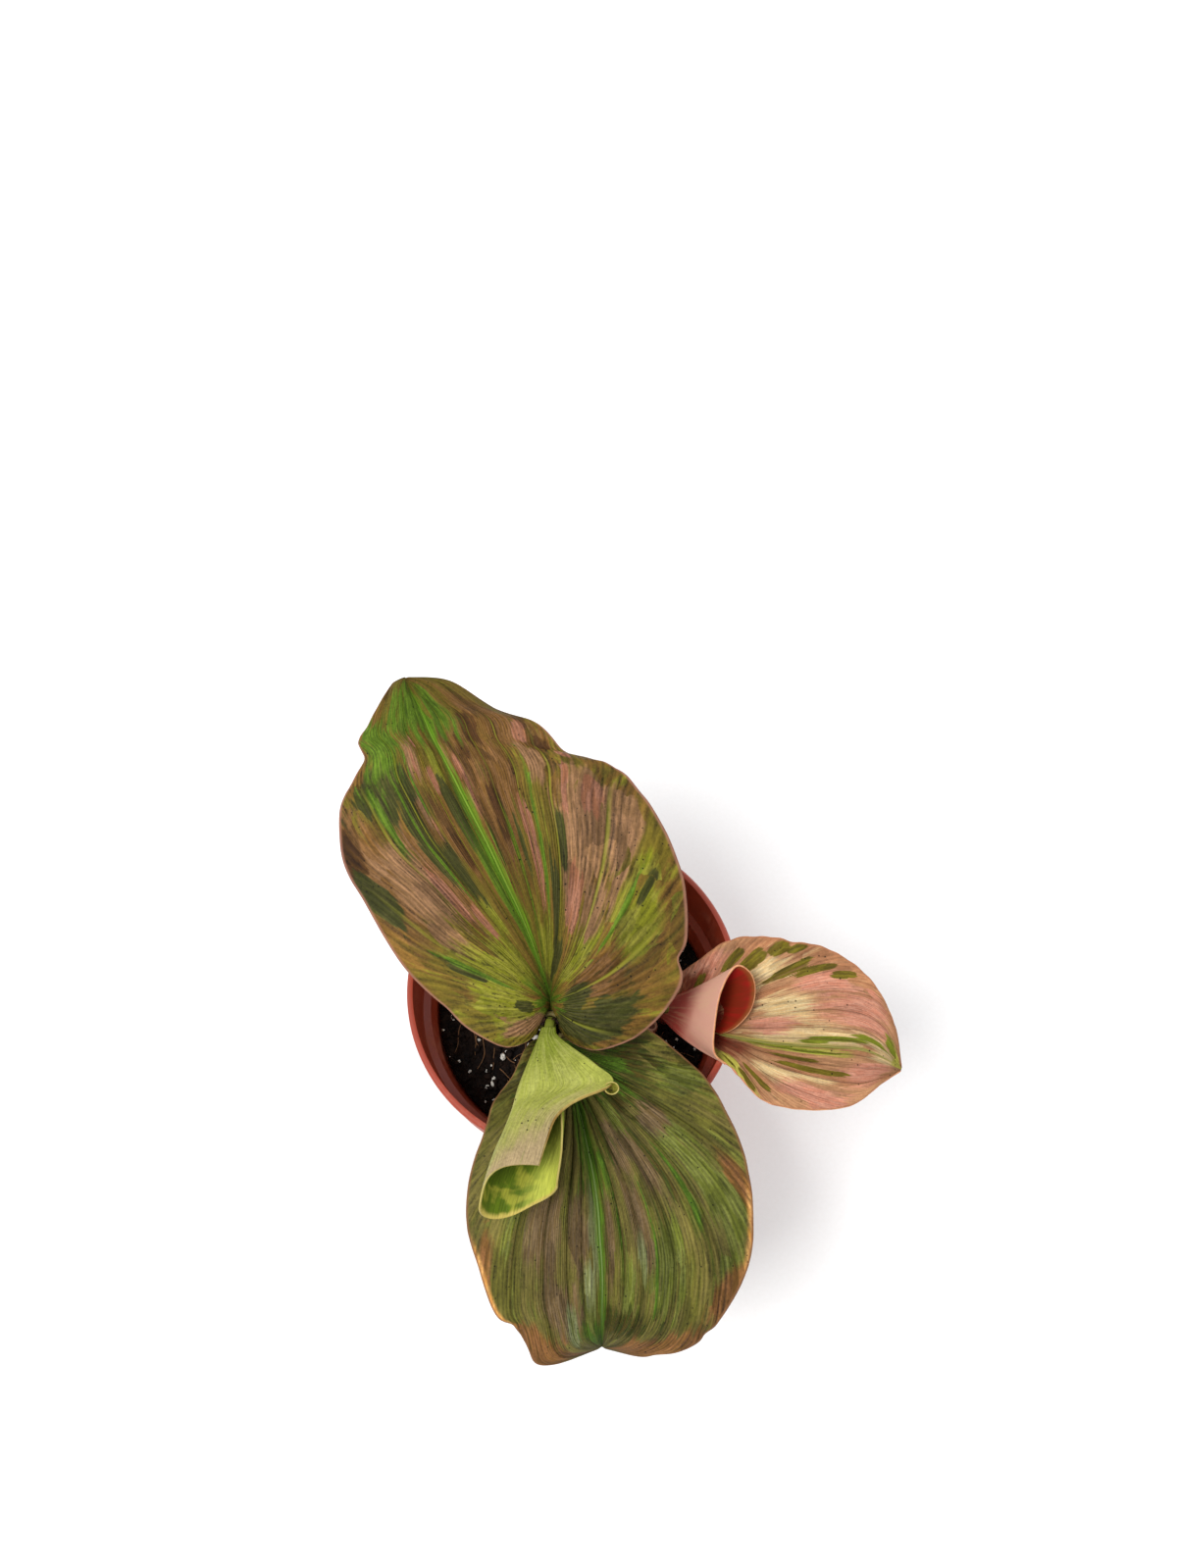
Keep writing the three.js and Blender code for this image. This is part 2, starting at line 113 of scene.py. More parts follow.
# %% A finish, and its one method that adds a node
class Finish:
    """A material that is built from nodes."""

    def __init__(self, name):
        self.material = bpy.data.materials.new(name)
        self.material.use_nodes = True
        self.tree = self.material.node_tree
        self.tree.nodes.clear()

    def node(self, kind, settings=None, sockets=None, output=0):
        """Adds a node. Its settings are set first, and each of its sockets then takes a value or a wire."""
        made = self.tree.nodes.new(kind)
        for key, value in (settings or {}).items():
            setattr(made, key, value)
        for key, value in (sockets or {}).items():
            if isinstance(value, Wire):
                self.tree.links.new(value.socket, made.inputs[key])
            else:
                made.inputs[key].default_value = value
        return Wire(self, made.outputs[output]) if made.outputs else None

    def uv(self, name):
        return self.parts(self.node("ShaderNodeUVMap", {"uv_map": name}))

    def place(self):
        return self.node("ShaderNodeTexCoord", output="Object")

    def field(self, name):
        return self.node("ShaderNodeAttribute", {"attribute_name": name}, output="Fac")

    def parts(self, vector):
        split = self.node("ShaderNodeSeparateXYZ", sockets={0: vector}).socket.node
        return [Wire(self, out) for out in split.outputs]

    def vector(self, x, y, z=0.0):
        return self.node("ShaderNodeCombineXYZ", sockets={0: x, 1: y, 2: z})

    def noise(self, place, scale=1.0, detail=2.0, roughness=0.5):
        sockets = {"Vector": place, "Scale": scale, "Detail": detail, "Roughness": roughness}
        return self.node("ShaderNodeTexNoise", sockets=sockets)

    def brushed(self, x, y, z=0.0, detail=3.0, roughness=0.5):
        """Noise over coordinates that are scaled beforehand, so that it is drawn out as by a brush."""
        return self.noise(self.vector(x, y, z), 1.0, detail, roughness)

    def cells(self, place, scale, output="Distance"):
        return self.node("ShaderNodeTexVoronoi", sockets={"Vector": place, "Scale": scale}, output=output)

    def step(self, value, low, high):
        """0 where value is under low, 1 where it is over high, and smooth in between."""
        settings = {"interpolation_type": "SMOOTHSTEP"}
        return self.node("ShaderNodeMapRange", settings, {0: value, 1: low, 2: high})

    def mix(self, share, first, second):
        """From the first colour to the second, by a share from 0 to 1. Each is a wire or a code."""
        first, second = (colour(end) if isinstance(end, str) else end for end in (first, second))
        return self.node("ShaderNodeMix", {"data_type": "RGBA"}, {0: share, 6: first, 7: second}, output=2)

    def tint(self, tone, strength):
        """A colour made darker or paler."""
        return self.node("ShaderNodeVectorMath", {"operation": "SCALE"}, {0: tone, "Scale": strength})

    def bump(self, height, depth):
        return self.node("ShaderNodeBump", sockets={"Height": height, "Distance": depth, "Strength": 1.0})

    def coat(self, tone, roughness, bump=None, **fixed):
        """The surface itself. What is fixed goes straight on to the shader's own sockets."""
        sockets = {"Base Color": tone, "Roughness": roughness}
        if bump:
            sockets["Normal"] = bump
        sockets.update({key.replace("_", " "): value for key, value in fixed.items()})
        shader = self.node("ShaderNodeBsdfPrincipled", sockets=sockets)
        self.node("ShaderNodeOutputMaterial", sockets={"Surface": shader})
        return self.material


# %% [markdown]
# ## Camera, light and floor
# The photograph looks down on the plant from in front, 25.5 degrees off the vertical, from about 35 cm.
# The camera's place was found from the pot's rim, a circle of known width that shows as an ellipse. The
# light is what a cloudy sky gives: pale from all sides, with one large soft source to the upper left.

# %% Camera
LONG_SIDE = 1599
FOCAL_PIXELS = 1250
SENSOR = 36.0
CAMERA_PLACE = (0.0039, -0.08898, 0.37278)
CAMERA_TILT = math.radians(25.5)

camera_data = bpy.data.cameras.new("camera")
camera_data.sensor_width = SENSOR
camera_data.lens = SENSOR * FOCAL_PIXELS / LONG_SIDE
camera_data.clip_start = 0.01
camera_data.clip_end = 10
camera = bpy.data.objects.new("camera", camera_data)
camera.location = CAMERA_PLACE
camera.rotation_euler = (CAMERA_TILT, 0, 0)
bpy.context.scene.collection.objects.link(camera)
bpy.context.scene.camera = camera
bpy.context.scene.view_settings.view_transform = "Standard"
print("lens in mm:", round(camera_data.lens, 2))


# %% Lights and the sky
PLANT_MIDDLE = (0, 0, 0.06)
SKY_BLUE = (0.95, 0.97, 1.0, 1.0)
SKY_STRENGTH = 0.75


def softbox(name, place, side, watts):
    """A square lamp that is aimed at the plant."""
    light = bpy.data.lights.new(name, "AREA")
    light.shape = "SQUARE"
    light.size = side
    light.energy = watts
    lamp = bpy.data.objects.new(name, light)
    lamp.location = place
    lamp.rotation_euler = (Vector(PLANT_MIDDLE) - Vector(place)).to_track_quat("-Z", "Y").to_euler()
    bpy.context.scene.collection.objects.link(lamp)


softbox("key", (-0.45, -0.25, 0.95), 0.5, 9.0)
softbox("fill", (0.6, 0.5, 0.7), 0.8, 3.0)

world = bpy.data.worlds.new("sky")
world.use_nodes = True
sky = world.node_tree.nodes["Background"].inputs
sky["Color"].default_value = SKY_BLUE
sky["Strength"].default_value = SKY_STRENGTH
bpy.context.scene.world = world


# %% Pieces: how a mesh becomes part of the plant
def add_object(name, data):
    made = bpy.data.objects.new(name, data)
    bpy.context.scene.collection.objects.link(made)
    return made


def finish_piece(piece, node, *finishes):
    """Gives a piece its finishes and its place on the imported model, and says how large it is."""
    for finish in finishes:
        piece.data.materials.append(finish)
    for polygon in piece.data.polygons:
        polygon.use_smooth = True
    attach(piece, "root")
    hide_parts(node)
    print(piece.name, "with", len(piece.data.polygons), "faces")
    return piece


def mesh_of(bm, name):
    mesh = bpy.data.meshes.new(name)
    bm.to_mesh(mesh)
    bm.free()
    return mesh


def settled(thing):
    """The mesh of an object with its modifiers, or its curve, worked out."""
    bpy.context.view_layer.update()
    return bpy.data.meshes.new_from_object(thing.evaluated_get(bpy.context.evaluated_depsgraph_get()))


# %% Floor
FLOOR_HALF_SIDE = 3.0
bm = bmesh.new()
bmesh.ops.create_grid(bm, x_segments=2, y_segments=2, size=FLOOR_HALF_SIDE)
floor = add_object("floor", mesh_of(bm, "floor"))
paper = Finish("paper")
grain = paper.noise(paper.place(), 900.0, 3.0)
white = paper.mix(grain, "#f2f1ef", "#f8f8f7")
floor.data.materials.append(paper.coat(white, 0.9, paper.bump(grain, 0.00002)))

# %% [markdown]
# ## The pot
# A nursery pot is blown or pressed from thin brick-coloured plastic: a tapering body, a wider collar and
# a rolled lip. It is round, so its section is drawn once and spun about the upright axis. A bevel
# afterwards rounds every edge a little, as moulded plastic is. The drain holes are cut out of the base.

# %% Sizes of the pot, from its solid
pot_low, pot_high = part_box("pot")
RIM_RADIUS = pot_high.x
RIM_HEIGHT = pot_high.z
WALL = 1.2 * MM
FLOOR = 1.8 * MM
LIP_INNER = RIM_RADIUS - 1.5 * MM
COLLAR_BOTTOM = 0.75 * RIM_HEIGHT
COLLAR_INNER = 40.2 * MM
BODY_TOP_INNER = 38.3 * MM
BASE_INNER = 28.2 * MM
LIP_HEIGHT = 2.2 * MM
LIP_ROUND = 0.5 * MM
WELD = 0.01 * MM
print("rim", round(2 * RIM_RADIUS / MM, 1), "mm across,", round(RIM_HEIGHT / MM, 1), "mm high")


# %% Spin the section
def turned(name, section, steps):
    """A round solid from half of its section, which starts and ends on the upright axis."""
    bm = bmesh.new()
    points = [bm.verts.new((r, 0, z)) for r, z in section]
    lines = [bm.edges.new(pair) for pair in zip(points, points[1:])]
    turn = {"cent": (0, 0, 0), "axis": (0, 0, 1), "angle": 2 * math.pi, "steps": steps, "use_merge": True}
    bmesh.ops.spin(bm, geom=points + lines, **turn)
    bmesh.ops.remove_doubles(bm, verts=bm.verts, dist=WELD)
    bmesh.ops.recalc_face_normals(bm, faces=bm.faces)
    return add_object(name, mesh_of(bm, name))


outer_wall = [
    (0, 0), (BASE_INNER + WALL, 0), (BODY_TOP_INNER + WALL, COLLAR_BOTTOM - MM),
    (COLLAR_INNER + WALL, COLLAR_BOTTOM), (LIP_INNER + 0.9 * WALL, RIM_HEIGHT - LIP_HEIGHT - 0.8 * MM),
]
lip = [
    (RIM_RADIUS, RIM_HEIGHT - LIP_HEIGHT), (RIM_RADIUS, RIM_HEIGHT - LIP_ROUND),
    (RIM_RADIUS - LIP_ROUND, RIM_HEIGHT), (LIP_INNER, RIM_HEIGHT),
]
inner_wall = [
    (COLLAR_INNER, COLLAR_BOTTOM + MM), (BODY_TOP_INNER, COLLAR_BOTTOM), (BASE_INNER, FLOOR), (0, FLOOR),
]
pot = turned("pot_shell", outer_wall + lip + inner_wall, 144)

# %% Cut the drain holes and round the edges
DRAIN_RING = 21 * MM
DRAIN_RADIUS = 2.6 * MM
DRAIN_HOLES = 6
EDGE_ROUNDING = 0.22 * MM
SHARP_ANGLE = math.radians(24)
bm = bmesh.new()
for k in range(DRAIN_HOLES):
    angle = 2 * math.pi * (k + 0.5) / DRAIN_HOLES
    place = Matrix.Translation((DRAIN_RING * math.cos(angle), DRAIN_RING * math.sin(angle), FLOOR / 2))
    sizes = {"radius1": DRAIN_RADIUS, "radius2": DRAIN_RADIUS, "depth": 4 * FLOOR}
    bmesh.ops.create_cone(bm, cap_ends=True, segments=24, matrix=place, **sizes)
punch = add_object("punch", mesh_of(bm, "punch"))
holes = pot.modifiers.new("holes", "BOOLEAN")
holes.object = punch
holes.operation = "DIFFERENCE"
rounding = pot.modifiers.new("rounding", "BEVEL")
rounding.width = EDGE_ROUNDING
rounding.segments = 2
rounding.angle_limit = SHARP_ANGLE
pot.data = settled(pot)
pot.modifiers.clear()
bpy.data.objects.remove(punch)

# %% [markdown]
# Brick-red plastic is smooth but not clean: it has fine scuffs, and a film of dust and lime that gathers
# in streaks. The colour varies slightly, the roughness more, and a faint bump breaks up the gloss.

# %% Brick-red plastic
brick = Finish("brick_plastic")
where = brick.place()
x, y, z = brick.parts(where)
haze = brick.noise(where, 60.0, 4.0, 0.6)
scuffs = brick.brushed(x * 900.0, y * 900.0, z * 120.0)
dust = brick.step(haze + (scuffs - 0.5) * 0.5, 0.5, 0.72)
tone = brick.mix(haze, "#8a2e18", "#a23d22")
tone = brick.mix(dust * 0.2, tone, "#c58a70")
dull = 0.38 + haze * 0.16 + dust * 0.25
height = scuffs * 0.6 + brick.noise(where, 2600.0, 2.0) * 0.4
brick_plastic = brick.coat(tone, dull, brick.bump(height, 0.00003), Specular_IOR_Level=0.45)
finish_piece(pot, "pot", brick_plastic)

# %% [markdown]
# ## The soil
# Potting mix is black-brown crumbs, fibres of coir and white grains of perlite. A bumpy bed carries them.
# The crumbs are small rough solids with few faces, because there are thousands, and they sit half sunk in
# the bed.

# %% Places of the shoots, which the soil has to leave free
SOIL_LEVEL = 46.0
MAIN_SHOOT = (-5.0, -11.5)
SECOND_SHOOT = (24.5, -3.0)
STUB_PLACE = (20.8, -6.2)
SHOOTS = [(MAIN_SHOOT, 3.4), (SECOND_SHOOT, 2.5), (STUB_PLACE, 2.0)]
soil_low, soil_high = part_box("soil")
SOIL_RADIUS = soil_high.x / MM


def soil_height(x, y):
    """Height of the soil at a place, in mm."""
    coarse = math.sin(0.55 * x + 1.3) * math.cos(0.49 * y - 0.4)
    fine = math.sin(1.31 * x - 0.8 * y) * math.cos(1.17 * y + 0.6 * x)
    rough = noise.fractal(Vector((0.5 * x, 0.5 * y, 0.0)), 0.8, 2.2, 4)
    return SOIL_LEVEL + 0.9 * (0.6 * coarse + 0.5 * fine) + 0.5 * rough


# %% The bed: a square grid drawn into a disc, with its edge carried down to the pot's floor
BED_CELLS = 110
BED_EDGE_GAP = 0.2
BED_FOOT_SHARE = 0.98
bm = bmesh.new()
bmesh.ops.create_grid(bm, x_segments=BED_CELLS, y_segments=BED_CELLS, size=1.0)
for vert in bm.verts:
    x, y = vert.co.x, vert.co.y
    disc = Vector((x * math.sqrt(1 - y * y / 2), y * math.sqrt(1 - x * x / 2)))
    place = disc * (SOIL_RADIUS - BED_EDGE_GAP)
    vert.co = Vector((place.x, place.y, soil_height(place.x, place.y))) * MM
edge = [e for e in bm.edges if e.is_boundary]
wall = bmesh.ops.extrude_edge_only(bm, edges=edge)["geom"]
for vert in [g for g in wall if isinstance(g, bmesh.types.BMVert)]:
    share = BASE_INNER * BED_FOOT_SHARE / Vector((vert.co.x, vert.co.y)).length
    vert.co = (vert.co.x * share, vert.co.y * share, soil_low.z)
bmesh.ops.contextual_create(bm, geom=[e for e in bm.edges if e.is_boundary])
bmesh.ops.recalc_face_normals(bm, faces=bm.faces)
bed = add_object("soil_bed", mesh_of(bm, "soil_bed"))

# %% Damp potting mix
mix = Finish("potting_mix")
where = mix.place()
lumps = mix.noise(where, 420.0, 5.0, 0.65)
tone = mix.mix(mix.step(lumps, 0.35, 0.75), "#0a0504", "#24160e")
wet = 0.62 + lumps * 0.35
potting_mix = mix.coat(tone, wet, mix.bump(lumps, 0.0008), Specular_IOR_Level=0.15)
finish_piece(bed, "soil", potting_mix)


# %% Scatter small solids over the bed
def add_grain(heap, draw, place, size, detail, roughness):
    """One rough grain in a heap: a ball of the given radius whose corners are moved at random."""
    grain = bmesh.new()
    bmesh.ops.create_icosphere(grain, subdivisions=detail, radius=size, matrix=place)
    for vert in grain.verts:
        vert.co += Vector([draw.uniform(-roughness, roughness) for _ in range(3)])
    single = bpy.data.meshes.new("single")
    grain.to_mesh(single)
    grain.free()
    heap.from_mesh(single)
    bpy.data.meshes.remove(single)


def random_turn(draw, lean):
    """Any turn about the upright axis, after a lean of up to the given angle to either side."""
    heading = Matrix.Rotation(draw.uniform(0, 6.3), 4, "Z")
    return heading @ Matrix.Rotation(draw.uniform(-lean, lean), 4, "X")


def scatter(name, count, sizes, sink, flatness, seed, detail=1):
    """Rough grains on the soil, in one mesh.

    The sizes are radii in mm, and sink is the share of a grain that is buried.
    """
    draw = random.Random(seed)
    heap = bmesh.new()
    done = 0
    while done < count:
        angle = draw.uniform(0, 2 * math.pi)
        radius = SOIL_RADIUS * math.sqrt(draw.random())
        x, y = radius * math.cos(angle), radius * math.sin(angle)
        size = draw.uniform(*sizes) * (1.0 if draw.random() < 0.8 else 1.4)
        free = all(math.hypot(x - p[0], y - p[1]) > keep + size for p, keep in SHOOTS)
        if not free or radius + size > SOIL_RADIUS - 0.3:
            continue
        done += 1
        height = soil_height(x, y) + size * flatness * (1 - 2 * sink)
        turn = random_turn(draw, 0.5)
        scale = Matrix.Diagonal((draw.uniform(0.8, 1.3), draw.uniform(0.7, 1.1), flatness, 1.0))
        place = Matrix.Translation(Vector((x, y, height)) * MM) @ turn @ scale
        add_grain(heap, draw, place, size * MM, detail, 0.2 * size * MM)
    return add_object(name, mesh_of(heap, name))


crumbs = scatter("soil_crumbs", 2600, sizes=(0.3, 0.85), sink=0.35, flatness=0.8, seed=11)
finish_piece(crumbs, "soil", potting_mix)

# %% White grains of perlite
perlite_grains = scatter("perlite", 340, sizes=(0.2, 0.66), sink=0.2, flatness=0.85, seed=5, detail=2)
chalk = Finish("perlite")
pits = chalk.noise(chalk.place(), 1800.0, 4.0, 0.7)
tone = chalk.mix(chalk.step(pits, 0.3, 0.6), "#8f8678", "#e9e6dc")
finish_piece(perlite_grains, "soil", chalk.coat(tone, 0.85, chalk.bump(pits, 0.0003)))

# %% [markdown]
# Fibres are drawn as curves with a round section, lying on the bed. A few points give each one a random
# bend.

# %% Coir fibres
FIBRES = 110
FIBRE_POINTS = 6
FIBRE_REACH = 33
FIBRE_RADIUS = 0.13 * MM
draw = random.Random(23)
fibre_curve = bpy.data.curves.new("fibres", "CURVE")
fibre_curve.dimensions = "3D"
fibre_curve.bevel_depth = FIBRE_RADIUS
fibre_curve.bevel_resolution = 1
fibre_curve.resolution_u = 3
fibre_curve.use_fill_caps = True
while len(fibre_curve.splines) < FIBRES:
    x, y = draw.uniform(-FIBRE_REACH, FIBRE_REACH), draw.uniform(-FIBRE_REACH, FIBRE_REACH)
    heading = draw.uniform(0, 2 * math.pi)
    stride = draw.uniform(0.9, 2.2)
    route = []
    for _ in range(FIBRE_POINTS):
        route.append((x, y, soil_height(x, y) + draw.uniform(0.3, 1.1)))
        heading += draw.uniform(-0.5, 0.5)
        x, y = x + stride * math.cos(heading), y + stride * math.sin(heading)
    if max(math.hypot(px, py) for px, py, _ in route) > SOIL_RADIUS - 1.5:
        continue
    if any(math.hypot(px - p[0], py - p[1]) < keep + 0.6 for px, py, _ in route for p, keep in SHOOTS):
        continue
    spline = fibre_curve.splines.new("NURBS")
    spline.points.add(len(route) - 1)
    for point, place in zip(spline.points, route):
        point.co = (*[c * MM for c in place], 1.0)
        point.radius = draw.uniform(0.6, 1.2)
    spline.use_endpoint_u = True
    spline.order_u = 4
strand = add_object("strand", fibre_curve)
fibres = add_object("coir_fibres", settled(strand))
bpy.data.objects.remove(strand)
coir = Finish("coir")
frayed = coir.noise(coir.place(), 700.0, 3.0)
tone = coir.mix(frayed, "#3a2413", "#8a6038")
finish_piece(fibres, "soil", coir.coat(tone, 0.8, coir.bump(frayed, 0.0001)))

# %% [markdown]
# ## How a blade is laid out
# A blade of this plant has a midrib, and side veins that leave the foot as a fan and bend towards the
# tip. Each blade is drawn by three lines, its midrib and its two margins. A grid is stretched between
# them: v runs across the blade and u from the foot to the tip. Everything that follows the veins, folds
# as well as colours, needs one more pair of numbers: which vein a place lies on, and how far along that
# vein it is. Both are stored in the mesh.


# %% A smooth line through points
def through(points, share):
    """Points of a Catmull-Rom line through the given ones, at shares from 0 to 1."""
    given = np.asarray(points, float)
    given = given.reshape(len(given), -1)
    padded = np.vstack([2 * given[0] - given[1], given, 2 * given[-1] - given[-2]])
    place = np.clip(share, 0, 1) * (len(given) - 1)
    first = np.minimum(place.astype(int), len(given) - 2)
    t = (place - first)[..., None]
    a, b, c, d = (padded[first + k] for k in range(4))
    leave, arrive = (c - a) / 2, (d - b) / 2
    square = 3 * c - 3 * b - 2 * leave - arrive
    cube = 2 * b - 2 * c + leave + arrive
    return b + t * leave + t**2 * square + t**3 * cube


# %% Which vein, and how far along it
def fan(u, v):
    """The vein's number and the distance from the foot.

    The midrib is 0, the left lobe ends at -2 and the right one at 2.
    """
    out = np.abs(2 * v - 1)
    meets = (u + 0.004) / np.maximum(out, 0.001) ** (2 / 3)
    vein = np.where(meets < 1, 2 - meets, 1 / np.maximum(meets, 1))
    return np.where(v < 0.5, -vein, vein), np.hypot(u, 0.5 * out)


def smooth(value, low, high):
    t = np.clip((value - low) / (high - low), 0, 1)
    return t * t * (3 - 2 * t)


def folds(fold):
    """0 on a main vein, which lies in a groove, and 1 half way to the next one."""
    return np.abs(np.sin(np.pi * fold)) ** 0.8


def unit(vectors):
    return vectors / np.linalg.norm(vectors, axis=-1, keepdims=True)


# %% The form of a blade
SIDE_FOLD_SHARE = 0.16
RUFFLES = 17
RUFFLE_HEIGHT = 0.25
GROOVE_DEPTH = 0.5
GROOVE_WIDTH = 0.06


def blade_surface(blade):
    """A function of u and v that gives places on the blade in mm.

    A nick has a side, a place along it, a width and a depth.
    """

    def surface(u, v):
        out = np.abs(2 * v - 1)[..., None]
        margin = np.where((v < 0.5)[..., None], through(blade["left"], u), through(blade["right"], u))
        place = through(blade["midrib"], u) * (1 - out) + margin * out
        out = out[..., 0]
        vein, reach = fan(u, v)
        fold = np.interp(vein, blade["veins"], range(len(blade["veins"])))
        for side, at, width, depth in blade["nicks"]:
            inward = unit(through(blade["midrib"], u) - margin)
            pull = depth * np.exp(-(((u - at) / width) ** 2)) * out**10 * ((v < 0.5) == (side == "left"))
            place += inward * pull[..., None]
        fade = np.sin(np.pi * np.clip(u, 0, 1)).clip(0) ** 0.8
        even = smooth(reach, *blade["folds_start"]) * smooth(np.abs(vein), 0.1, 0.4)
        pleat = folds(fold) + SIDE_FOLD_SHARE * folds(3 * fold)
        phase = np.where(v < 0.5, 0.6, 2.2)
        wave = np.sin(2 * np.pi * blade["waves"] * u + phase) * out**3
        ruffle = RUFFLE_HEIGHT * np.sin(2 * np.pi * RUFFLES * u + 4 * phase) * out**6
        groove = GROOVE_DEPTH * smooth(GROOVE_WIDTH - out, 0, GROOVE_WIDTH)
        place[..., 2] += fade * (4 * blade["bulge"] * out * (1 - out) + blade["depth"] * even * pleat)
        place[..., 2] += fade * (blade["wave_height"] * wave + ruffle - groove)
        return place

    return surface


# %% A sheet of leaf: grid, form, stored numbers and thickness
SHEET_THICKNESS = 0.45


def patches(places, vein, reach):
    """How deep each place lies in the listed patches: 0.5 on their border and 1 in the middle."""
    deep = np.zeros_like(vein)
    for along, foot, half_width, half_length in places:
        aside = np.abs((vein - along) / half_width)
        ahead = np.abs((reach - foot) / half_length)
        deep = np.maximum(deep, 1 - (aside**3 + ahead**3) ** (1 / 3) / 2)
    return deep


def leaf_sheet(
    name, surface, rows, columns, node, finishes, fields=None, thickness=SHEET_THICKNESS, upside_down=False
):
    """A sheet of leaf. The finishes are for its upper side, its underside and its cut edge."""
    bm = bmesh.new()
    bm.loops.layers.uv.new("UVMap")
    bmesh.ops.create_grid(bm, x_segments=columns, y_segments=rows, size=0.5, calc_uvs=True)
    if upside_down:
        bmesh.ops.reverse_faces(bm, faces=bm.faces)
    mesh = mesh_of(bm, name)
    flat = np.empty(len(mesh.vertices) * 3)
    mesh.vertices.foreach_get("co", flat)
    v, u = (flat.reshape(-1, 3)[:, k] + 0.5 for k in (0, 1))
    mesh.vertices.foreach_set("co", (surface(u, v) * MM).ravel())
    corner = np.empty(len(mesh.loops), int)
    mesh.loops.foreach_get("vertex_index", corner)
    mesh.uv_layers["UVMap"].data.foreach_set("uv", np.stack([v, u], 1)[corner].ravel())
    for key, values in (fields(u, v) if fields else {}).items():
        if values.ndim == 2:
            mesh.uv_layers.new(name=key).data.foreach_set("uv", values[corner].ravel())
        else:
            mesh.attributes.new(key, "FLOAT", "POINT").data.foreach_set("value", values)
    bm = bmesh.new()
    bm.from_mesh(mesh)
    bmesh.ops.remove_doubles(bm, verts=bm.verts, dist=WELD / 2)
    bm.to_mesh(mesh)
    bm.free()
    piece = add_object(name, mesh)
    body = piece.modifiers.new("thickness", "SOLIDIFY")
    body.thickness = thickness * MM
    body.offset = 0
    body.material_offset = 1
    body.material_offset_rim = 2
    return finish_piece(piece, node, *finishes)


def blade_fields(blade):
    """A function of u and v that gives the numbers which a blade's finish works with."""

    def fields(u, v):
        vein, reach = fan(u, v)
        made = {"fan": np.stack([vein, reach], 1)}
        made["fold"] = np.interp(vein, blade["veins"], range(len(blade["veins"])))
        for key, places in blade["patches"].items():
            made[key] = patches(places, vein, reach)
        return made

    return fields


# %% [markdown]
# ## How a variegated blade is coloured
# The colours of such a leaf lie in patches that are bordered by veins and end raggedly along them, as if
# brushed on from the foot to the tip. Some patches are painted light and shade: a sheen on the front leaf,
# a shadow that darkens patches near its foot, and shade by and inside the pink leaf's funnel. Each blade
# lists its patches in the numbers of the fan: which vein, how far out, how wide and how long. The shader
# adds noise that is stretched along the veins before it cuts each patch out, so its sides follow the veins
# and its ends are ragged. Fine veins, painted shade in the grooves of the pleats, lines along the main
# veins (paler on the back leaf, and dark on the front leaf as painted shade in its creases), the midrib
# with a pale centre line that is partly a painted highlight, specks and the rim come on top.


# %% The finish of a blade's upper side
LEAF_GLOSS = 0.12
SPECK_CELLS = 640.0


def specks(leaf, tone):
    """Small black grains of soil and old scars, scattered in space and seen where they meet the surface."""
    near = leaf.cells(leaf.place(), SPECK_CELLS)
    chance = leaf.parts(leaf.cells(leaf.place(), SPECK_CELLS, "Color"))[0]
    crowd = leaf.noise(leaf.place(), 90.0, 2.0)
    wanted = leaf.step(chance + (crowd - 0.5) * 2.0, 0.68, 0.7)
    spot = (1.0 - leaf.step(near + (crowd - 0.5) * 0.2, 0.08, 0.18)) * wanted
    return leaf.mix(spot * 0.9, tone, "#100d06")


